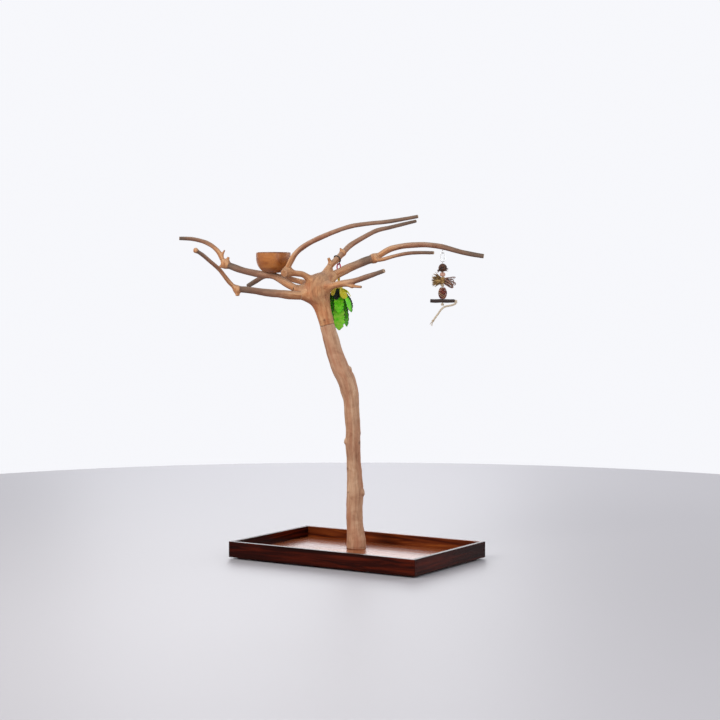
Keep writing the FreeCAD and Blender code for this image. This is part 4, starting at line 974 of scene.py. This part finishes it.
# Natural toy
TOY_X = 0.371
TOY_Y = 0.040
TOP_BALL_HEIGHT = 1.2302
TOP_BALL_RADIUS = 0.019
BEAD_HEIGHT = 1.2013
BEAD_RADIUS = 0.012
BEAD_FLAT = 0.0095
BEAD_BORE = 0.0024
BOW_HEIGHT = 1.1764
BOW_WAIST_LENGTH = 0.030
MIDDLE_KNOT_HEIGHT = 1.1539
WICKER_TOP = 1.146
WICKER_LENGTH = 0.050
WICKER_RADIUS = 0.0185
STICK_HEIGHT = 1.0878
STICK_LEFT = 0.053
STICK_RIGHT = 0.052
STICK_RADIUS = 0.0078
CORD_KNOT_HEIGHT = 1.0726
CORD_RADIUS = 0.002
TAIL_DIAMETER = 0.0084
TAIL_POINTS = [
    (0.427, 0.04, 1.076), (0.416, 0.036, 1.07), (0.398, 0.03, 1.067), (0.377, 0.026, 1.063),
    (0.363, 0.027, 1.05), (0.352, 0.031, 1.033), (0.341, 0.036, 1.018), (0.333, 0.04, 1.006),
]


def on_line(height, right=0.0, back=0.0):
    return np.array((TOY_X + right, TOY_Y + back, height))


def tail_path():
    """The points of a smooth curve along the tail's route, from its exit to its far end."""
    route = turned(TAIL_POINTS)
    curve = bpy.data.curves.new("tail_route", "CURVE")
    curve.dimensions = "3D"
    curve.resolution_u = 12
    spline = curve.splines.new("NURBS")
    spline.points.add(len(route) - 1)
    for point, place in zip(spline.points, route):
        point.co = (*place, 1.0)
    spline.order_u = 3
    spline.use_endpoint_u = True
    holder = link_object("tail_route", curve)
    path = vectors_of(bpy.data.meshes.new_from_object(holder).vertices, "co")
    bpy.data.objects.remove(holder)
    return path


def make_tail():
    """The free tail of rope on the stick, and the knot and frayed ends below it."""
    path = tail_path()
    rope = strand_paint("cord_paint", (150, 128, 104), (214, 196, 170), (240, 228, 208), 0.85)
    strands = rope_strands(path, TAIL_DIAMETER / 2, 3, 0.016, 0.6)
    tail = add_strands("rope_tail", strands, rope, "perch_stick", "cord_fibre", "tail_rope", 10)
    end = path[-1]
    out = unit(path[-1] - path[-4])
    strands = knot_strands(end + out * 0.0055, out, 0.0042, 0.0024, 0.55)
    strands += fray_strands(end + out * 0.010, out, 0.014, 15, 5)
    knot = add_strands("tail_end_knot", strands, rope, "perch_stick", "cord_fibre", "tail_knot")
    return rope


def knot_strands(centre, up, radius, thickness, tone):
    """A tight overhand knot: a trefoil of cord about its middle."""
    up = unit(up)
    side = unit(np.cross(up, np.array((0.3, 0.9, 0.1))))
    across = np.cross(up, side)
    path = []
    for turn in np.linspace(0, 2 * math.pi, 64):
        x = math.sin(turn) + 1.7 * math.sin(2 * turn)
        y = math.cos(turn) - 1.7 * math.cos(2 * turn)
        z = -math.sin(3 * turn)
        path.append(centre + (side * x + across * y) * radius * 0.37 + up * (z * radius * 0.62))
    return rope_strands(np.array(path), thickness, 2, 0.007, tone)


def fray_strands(start, out, length, count, seed):
    """Loose fibres in two locks beyond a knot."""
    draw = random.Random(seed).uniform
    side = unit(np.cross(out, np.array((0.2, 1.0, 0.1))))
    across = np.cross(out, side)
    strands = []
    for i in range(count):
        lock = -1 if i % 2 else 1
        lean = side * (lock * 0.34 + draw(-0.2, 0.2)) + across * draw(-0.28, 0.28)
        reach = length * draw(0.7, 1.1)
        root = start + side * lock * 0.0016 + across * draw(-0.0012, 0.0012)
        path = []
        for step in range(8):
            share = step / 7
            drop = np.array((0, 0, -0.25)) * share**2 * reach
            path.append(root + (out * share + lean * share**1.4) * reach + drop)
        strands.append((path, np.linspace(0.0009, 0.0003, 8), draw(0.35, 0.9)))
    return strands


def make_knots(rope):
    """The cord through the toy, the knots on it and the knot at the stick's end."""
    ends = turned([on_line(CORD_KNOT_HEIGHT), on_line(TOP_BALL_HEIGHT - TOP_BALL_RADIUS + 0.004)])
    strands = rope_strands(ends, CORD_RADIUS, 3, 0.009, 0.45)
    add_strands("twisted_cord", strands, rope, "natural_toy", "cord_fibre", "toy_cord")
    strands = knot_strands(turned(on_line(MIDDLE_KNOT_HEIGHT)), UP, 0.0052, 0.0028, 0.4)
    strands += knot_strands(turned(on_line(CORD_KNOT_HEIGHT)), UP, 0.0050, 0.0026, 0.55)
    add_strands("cord_stop_knots", strands, rope, "natural_toy", "cord_fibre", "cord_knots")
    centre = turned(on_line(STICK_HEIGHT - 0.003, STICK_RIGHT + 0.0048))
    strands = knot_strands(centre, turned((1.0, 0.0, 0.15)), 0.0058, 0.0031, 0.65)
    add_strands("stick_end_knot", strands, rope, "perch_stick", "cord_fibre", "end_knot")


def great_circle(centre, radius, pole, wobble, draw):
    """A wandering loop of vine round a ball."""
    pole = unit(pole)
    side = unit(np.cross(pole, np.array((0.31, 0.22, 0.93))))
    across = np.cross(pole, side)
    phase = draw(0, 2 * math.pi)
    path = []
    for i in range(41):
        angle = 2 * math.pi * i / 40
        lean = pole * wobble * math.sin(2 * angle + phase)
        path.append(centre + unit(side * math.cos(angle) + across * math.sin(angle) + lean) * radius)
    return np.array(path)


def blade_path(start, direction, length, curl, steps=9):
    """A leaf strip's middle line, bending by curl, a vector, towards its end."""
    shares = [i / (steps - 1) for i in range(steps)]
    return np.array([start + direction * (length * share) + curl * share**2 for share in shares])


def random_pole(chooser):
    return np.array([chooser.gauss(0, 1) for _ in range(3)])


def make_top_ball():
    """A ball wound of dark vine, with a shaggy skirt of ends."""
    chooser = random.Random(3)
    draw = chooser.uniform
    centre = turned(on_line(TOP_BALL_HEIGHT))
    strands = []
    for i in range(26):
        angle = 2 * math.pi * i / 26 + draw(-0.2, 0.2)
        out = np.array((math.cos(angle), math.sin(angle), 0))
        start = centre + out * 0.011 + UP * draw(-0.013, -0.003)
        tip = out * draw(0.009, 0.016) - UP * draw(-0.003, 0.010)
        length = np.linalg.norm(tip)
        path = blade_path(start, tip / length, length, UP * draw(-0.003, 0.003))
        strands.append((path, np.linspace(0.0023, 0.0009, 9), draw(0.0, 0.9), 0.6))
    for i in range(30):
        pole = random_pole(chooser)
        radius = TOP_BALL_RADIUS - 0.0018 - draw(0, 0.0026)
        path = great_circle(centre, radius, pole, draw(0.05, 0.3), draw)
        strands.append((path, draw(0.0013, 0.0021), draw(0.0, 1.0), 0.7))
    vine = strand_paint("vine_paint", (36, 20, 14), (82, 48, 34), (140, 96, 68), 0.6)
    add_strands("vine_ball", strands, vine, "natural_toy", "ball_vine", "top_ball")


def make_bead():
    """A flattened wooden bead with rounded ends to its bore."""
    mouth = BEAD_BORE + 0.0006
    profile = [(BEAD_BORE, -BEAD_FLAT + 0.0006), (mouth, -BEAD_FLAT)]
    for i in range(17):
        angle = math.pi * (i / 16 - 0.5) * 0.86
        height = BEAD_FLAT * math.sin(angle) / math.sin(math.pi * 0.43)
        profile.append((BEAD_RADIUS * math.cos(angle) ** 0.8, height))
    profile += [(mouth, BEAD_FLAT), (BEAD_BORE, BEAD_FLAT - 0.0006), profile[0]]
    mesh = lathe_ring("turned_bead", profile, turned(on_line(BEAD_HEIGHT)), 56)
    stops = ((0.3, (186, 128, 106)), (0.6, (226, 176, 152)))
    paint = grained_paint("bead_paint", (160, 160, 30), 4.0, stops, 0.45, 0.0001)
    add_piece("turned_bead", mesh, paint, "wood_bead", "bead_wood", "wood_bead")


def make_palm_bow():
    """A tied bow of shredded palm: a spiky fan to the left, dark loops to the right, a bound waist."""
    chooser = random.Random(8)
    draw = chooser.uniform
    middle = on_line(BOW_HEIGHT)
    fan = []
    for i in range(96):
        tilt = draw(-0.92, 0.92)
        depth = draw(-0.42, 0.42)
        direction = unit(np.array((-math.cos(tilt), depth, math.sin(tilt) * 0.62 + 0.08)))
        start = middle + np.array((-0.004, depth * 0.008, draw(-0.011, 0.011)))
        length = draw(0.03, 0.047)
        curl = np.array((0, draw(-0.006, 0.006), draw(-0.008, 0.006)))
        width = draw(0.0013, 0.0024)
        path = turned(blade_path(start, direction, length, curl))
        shape = np.array((0.75, 1, 1, 1, 0.92, 0.82, 0.66, 0.42, 0.1)) * width
        fan.append((path, shape, chooser.choice((0.0, 0.2, 0.5, 0.7, 1.0)), 0.28))
    for i in range(16):
        lean = draw(-0.5, 0.5)
        direction = unit(np.array((lean, draw(-0.5, 0.5), -0.8)))
        start = middle + np.array((lean * 0.01, 0, -BOW_WAIST_LENGTH / 2 + 0.006))
        path = blade_path(start, direction, draw(0.010, 0.017), np.array((lean * 0.01, 0, 0.001)))
        fan.append((turned(path), np.linspace(0.0015, 0.0004, 9), draw(0.5, 1.0), 0.3))
    for i in range(9):
        height = BOW_HEIGHT + (i - 4) * 0.003
        radius = 0.0082 + 0.0006 * math.sin(i * 2.1)
        ring = [
            on_line(height + 0.0009 * math.sin(t + i), radius * math.cos(t), radius * math.sin(t))
            for t in np.linspace(0, 2 * math.pi, 30)
        ]
        fan.append((turned(ring), 0.0017, draw(0.3, 0.8), 0.6))
    palm = strand_paint("palm_paint", (58, 38, 16), (150, 108, 50), (220, 184, 120), 0.6)
    add_strands("palm_fan", fan, palm, "natural_toy", "palm_leaf", "palm_bow")
    loops = []
    for i in range(17):
        tilt = draw(-0.55, 0.42)
        depth = draw(-0.32, 0.32)
        out = unit(np.array((math.cos(tilt), depth, math.sin(tilt) - 0.12)))
        rise = unit(np.cross(out, np.array((draw(-0.4, 0.4), 1, 0.1))))
        reach = draw(0.036, 0.058)
        tall = draw(0.0045, 0.009)
        path = []
        for step in range(22):
            angle = 2 * math.pi * (step / 21) * 0.96 + 0.12
            far = reach * 0.5 * (1 - math.cos(angle)) + 0.002
            path.append(middle + out * far + rise * (tall * math.sin(angle)))
        loops.append((turned(path), draw(0.0011, 0.0019), draw(0.0, 0.9), 0.35))
    for i in range(14):
        tilt = draw(-0.8, 0.5)
        direction = unit(np.array((math.cos(tilt), draw(-0.4, 0.4), math.sin(tilt) - 0.1)))
        start = middle + np.array((0.004, 0, 0))
        path = blade_path(start, direction, draw(0.03, 0.048), np.array((0, 0, -0.004)))
        loops.append((turned(path), np.linspace(0.0016, 0.0004, 9), draw(0.0, 1.0), 0.3))
    palm = strand_paint("palm_dark_paint", (44, 46, 38), (122, 78, 60), (186, 142, 116), 0.6)
    add_strands("palm_loops", loops, palm, "natural_toy", "palm_leaf", "palm_bow")


def make_wicker_ball():
    """A long ball, woven of vine in two directions over loose loops, with a ring at each end."""
    chooser = random.Random(5)
    draw = chooser.uniform
    half = WICKER_LENGTH / 2
    middle = on_line(WICKER_TOP - half)
    strands = []
    for i in range(22):
        pole = random_pole(chooser)
        path = great_circle(turned(middle), draw(0.008, 0.0125), pole, 0.3, draw)
        path[:, 2] = middle[2] + (path[:, 2] - middle[2]) * 1.5
        strands.append((path, 0.0013, draw(0.0, 0.5), 0.8))
    for way in (-1, 1):
        for i in range(8):
            path = []
            for step in range(45):
                share = step / 44 * 2 - 1
                angle = 2 * math.pi * i / 8 + way * share * 2.3
                radius = WICKER_RADIUS * (0.42 + 0.5 * math.cos(share * math.pi / 2) ** 0.7)
                radius += way * 0.0009 * math.cos(8 * way * share * 2.3 + i * math.pi)
                rise = share * (half - 0.0016)
                path.append(middle + np.array((radius * math.cos(angle), radius * math.sin(angle), rise)))
            green = chooser.random() < 0.3
            strands.append((turned(path), 0.0018, 1.0 if green else draw(0.0, 0.6), 0.7))
    for height in (-half + 0.0018, half - 0.0018):
        radius = WICKER_RADIUS * 0.42
        turns = np.linspace(0, 2 * math.pi, 30)
        ring = [middle + np.array((radius * math.cos(t), radius * math.sin(t), height)) for t in turns]
        strands.append((turned(ring), 0.0016, 0.3))
    vine = strand_paint("wicker_paint", (60, 20, 16), (142, 66, 50), (196, 160, 118), 0.55)
    add_strands("woven_ball", strands, vine, "wicker_ball", "wicker_vine", "wicker_ball")


def make_stick():
    wander = [
        (-STICK_LEFT, 0, 0.0004), (-0.03, 0.0006, -0.0004), (-0.006, 0, 0.0003),
        (0.022, -0.0006, -0.0003), (STICK_RIGHT, 0, 0.0),
    ]
    line = [on_line(STICK_HEIGHT, x, y) + UP * z for x, y, z in wander]
    radii = [STICK_RADIUS * share for share in (0.95, 1.0, 0.97, 1.0, 0.94)]
    bough = Bough(*smooth_line(line, radii), flat_start=True, flat_end=True)
    mesh = wood_mesh("branch_stick", [bough], STICK_VOXEL, LIMB_FILLET, 41)
    paint = Paint("stick_paint")
    streaks = paint.figure(paint.attribute("grain", "Vector"), (260, 260, 40), 5.0, 0.6, 0.5)
    stops = stops_of((0.32, (20, 13, 11)), (0.55, (50, 31, 25)), (0.78, (96, 66, 52)))
    colour = paint.mix(paint.attribute("end"), paint.ramp(streaks, stops), srgb(60, 44, 36))
    material = paint.done(colour, 0.6, (streaks, 0.0006))
    add_piece("branch_stick", mesh, material, "perch_stick", "stick_wood", "perch_stick")


# Coloured toy
CAP_TOP = (-0.0751, 0.0949, 1.1528)
CAP_HEIGHT = 0.011
# One side of a leaf, from the cap down: shares of its length and of its half width
LEAF_SIDE = [
    (0.0, 0.12), (0.16, 0.34), (0.32, 0.66), (0.5, 0.95), (0.66, 1.06), (0.8, 1.0), (0.92, 0.7),
    (1.0, 0.14),
]
LEAF_THICKNESS = 0.0018
LEAF_CUP = 0.0042
LEAF_ROWS = 34
LEAF_COLUMNS = 10
# Each tier is the radius that it hangs at and its leaves: the direction each one faces, its lean,
# its length and its width
CORE_TIER = (-0.0009, [(-90, 0, 0.165, 0.046)])
INNER_TIER = (0.0044, [(-90, 12, 0.185, 0.056), (30, 12, 0.170, 0.054), (150, 12, 0.178, 0.054)])
GREEN_TIER = (0.0075, [
    (-90, 28, 0.120, 0.048), (-30, 28, 0.112, 0.046), (30, 28, 0.118, 0.046), (90, 28, 0.110, 0.046),
    (150, 28, 0.114, 0.046), (210, 28, 0.122, 0.048),
])
DARK_TIER = (0.0112, [
    (25, 33, 0.100, 0.044), (85, 33, 0.096, 0.040), (145, 33, 0.092, 0.038), (200, 33, 0.095, 0.036),
    (255, 33, 0.060, 0.032),
])
YELLOW_TIER = (0.0149, [
    (-65, 46, 0.066, 0.034), (-5, 46, 0.052, 0.024), (55, 46, 0.050, 0.024), (115, 46, 0.050, 0.024),
    (175, 46, 0.048, 0.022), (235, 46, 0.046, 0.022),
])
GREENS = [(0.05, 0.46, 0.003), (0.17, 0.88, 0.008), (0.55, 0.95, 0.12)]
DARKS = [srgb(6, 10, 8), srgb(16, 26, 22), srgb(44, 62, 54)]
YELLOWS = [srgb(206, 190, 20), srgb(232, 226, 50), srgb(244, 240, 120)]
GREEN_EDGE = srgb(12, 30, 14)


def leaf_parts(row, root_radius, jags, draw, count):
    """Points, faces and (across, along) places of one cupped leaf with two skins and an edge."""
    facing, lean, length, width = row
    lean = math.radians(lean)
    facing = math.radians(facing)
    out = np.array((math.cos(facing), math.sin(facing), 0))
    side = np.array((-math.sin(facing), math.cos(facing), 0))
    curl = draw(0.004, 0.010)
    twist = draw(-0.12, 0.12)
    skins = []
    places = []
    for skin in (-0.5, 0.5):
        for i in range(LEAF_ROWS + 1):
            share = i / LEAF_ROWS
            wide = np.interp(share, *zip(*LEAF_SIDE)) * (width / 2)
            jag = 1 - jags * 0.5 * abs(((share * 9) % 1) - 0.2)
            down = length * share
            for j in range(LEAF_COLUMNS + 1):
                across = 2 * j / LEAF_COLUMNS - 1
                x = across * wide * (jag if abs(across) > 0.7 else 1.0)
                cup = LEAF_CUP * across**2 * math.sin(math.pi * min(share * 1.1, 1.0))
                rise = skin * LEAF_THICKNESS + cup + curl * math.sin(math.pi * share) * 0.5
                along_out = down * math.sin(lean) + rise * math.cos(lean)
                along_down = down * math.cos(lean) - rise * math.sin(lean)
                spot = side * (x + twist * down * 0.12) + out * (root_radius + along_out)
                skins.append(np.array(CAP_TOP) + (spot - UP * (CAP_HEIGHT - 0.001 + along_down)))
                places.append((across * 0.5, share * length * 12, 0.0))
    columns = LEAF_COLUMNS + 1
    far = (LEAF_ROWS + 1) * columns
    faces = []
    for i in range(LEAF_ROWS):
        for j in range(LEAF_COLUMNS):
            a = count + i * columns + j
            faces.append((a, a + 1, a + columns + 1, a + columns))
            faces.append((a + far, a + far + columns, a + far + columns + 1, a + far + 1))
    border = [(0, j) for j in range(LEAF_COLUMNS)] + [(i, LEAF_COLUMNS) for i in range(LEAF_ROWS)]
    border += [(LEAF_ROWS, j) for j in range(LEAF_COLUMNS, 0, -1)]
    border += [(i, 0) for i in range(LEAF_ROWS, 0, -1)]
    rim = [count + i * columns + j for i, j in border]
    for here, there in zip(rim, rim[1:] + rim[:1]):
        faces.append((there, here, here + far, there + far))
    return skins, faces, places


def add_leaves(name, tiers, jags, seed, material, slot, node):
    """The leaves of one colour."""
    draw = random.Random(seed).uniform
    spots = []
    faces = []
    places = []
    tones = []
    for root_radius, rows in tiers:
        for row in rows:
            skins, leaf_faces, leaf_places = leaf_parts(row, root_radius, jags, draw, len(spots))
            spots.extend(skins)
            faces.extend(leaf_faces)
            places.extend(leaf_places)
            tones.extend([draw(0.3, 0.8)] * len(skins))
    mesh = mesh_of(name, turned(np.array(spots)), faces)
    attribute(mesh, "blade", places)
    attribute(mesh, "tone", tones)
    add_piece(name, mesh, material, "colour_toy", slot, node)


def make_colour_toy():
    """Leaves of dyed leather in three colours, from the inside out."""
    green = leather_paint("green_leather_paint", *GREENS, edge=GREEN_EDGE)
    dark = leather_paint("dark_leather_paint", *DARKS)
    yellow = leather_paint("yellow_leather_paint", *YELLOWS)
    greens = [INNER_TIER, GREEN_TIER]
    add_leaves("green_leaf_blades", greens, 0.55, 1, green, "green_leather", "green_leaves")
    darks = [CORE_TIER, DARK_TIER]
    add_leaves("dark_leaf_blades", darks, 1.0, 2, dark, "dark_leather", "dark_leaves")
    add_leaves("yellow_leaf_blades", [YELLOW_TIER], 0.25, 4, yellow, "yellow_leather", "yellow_leaves")


# Nodes of the solid model that stay as they are, with their materials
OUTER_LACQUER = ((26, 5, 3), (46, 10, 5), (86, 25, 9))
# The rails' lacquer made lighter and warmer: painted light for the back rail's lit inner face.
PAINTED_LIGHT_LACQUER = ((66, 20, 8), (112, 50, 22), (160, 84, 34))
PANEL_LACQUER = ((98, 44, 22), (138, 72, 40), (168, 98, 60))
RAW_WOOD = ((0.35, (150, 112, 74)), (0.65, (196, 160, 116)))
RUBBER = ((0.3, (24, 24, 24)), (0.7, (42, 42, 42)))


def dress(material, *nodes):
    for name in nodes:
        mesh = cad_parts[name].data
        mesh.materials.clear()
        mesh.materials.append(material)


def dress_nodes():
    dress(lacquer_paint("rail_lacquer_x", "X", *OUTER_LACQUER, 0.1), "front_rail", "mitre_keys")
    dress(lacquer_paint("rail_lacquer_y", "Y", *OUTER_LACQUER, 0.07), "left_rail", "right_rail")
    # The back rail shows only its inner face, so it gets the lighter lacquer as painted light.
    dress(lacquer_paint("back_rail_painted_light_lacquer", "X", *PAINTED_LIGHT_LACQUER, 0.14), "back_rail")
    dress(lacquer_paint("panel_lacquer", "X", *PANEL_LACQUER, 0.5), "base_panel")
    raw_wood = grained_paint("raw_wood", (12, 90, 90), 5.0, RAW_WOOD, 0.7, 0.0002, 0.5)
    dress(raw_wood, "corner_blocks", "crown_dowels")
    zinc = steel_paint("zinc_paint", (0.62, 0.61, 0.58), 0.34)
    dress(zinc, "block_screws", "glide_nails", "anchor_plate", "lag_screws", "lag_washers")
    dress(zinc, "crown_bolt", "limb_bolts", "perch_bolts", "bowl_washer", "bowl_screw")
    dress(steel_paint("dark_wire_paint", (0.09, 0.075, 0.065), 0.45), "hanger_loop")
    bright = steel_paint("bright_link_paint", (0.78, 0.78, 0.77), 0.2)
    dress(bright, "screw_eye", "quick_link", "link_sleeve", "ball_eye")
    dress(grained_paint("pad_rubber_paint", (700, 700, 700), 3.0, RUBBER, 0.85, 0.00015), "trunk_pad")
    dress(plastic_paint("glide_paint", (58, 40, 30), 0.5), "floor_glides")
    dress(plastic_paint("ring_paint", (222, 26, 104), 0.25, 0.4), "colour_ring")
    dress(plastic_paint("cap_paint", (232, 208, 60), 0.35, 0.2), "leaf_cap")
    dress(strap_paint(), "toy_strap")


make_camera()
rope_paint = make_tail()
make_world()
make_lights()
make_floor()
dress_nodes()
make_tree()
make_bowl()
make_knots(rope_paint)
make_top_ball()
make_bead()
make_palm_bow()
make_wicker_ball()
make_stick()
make_colour_toy()
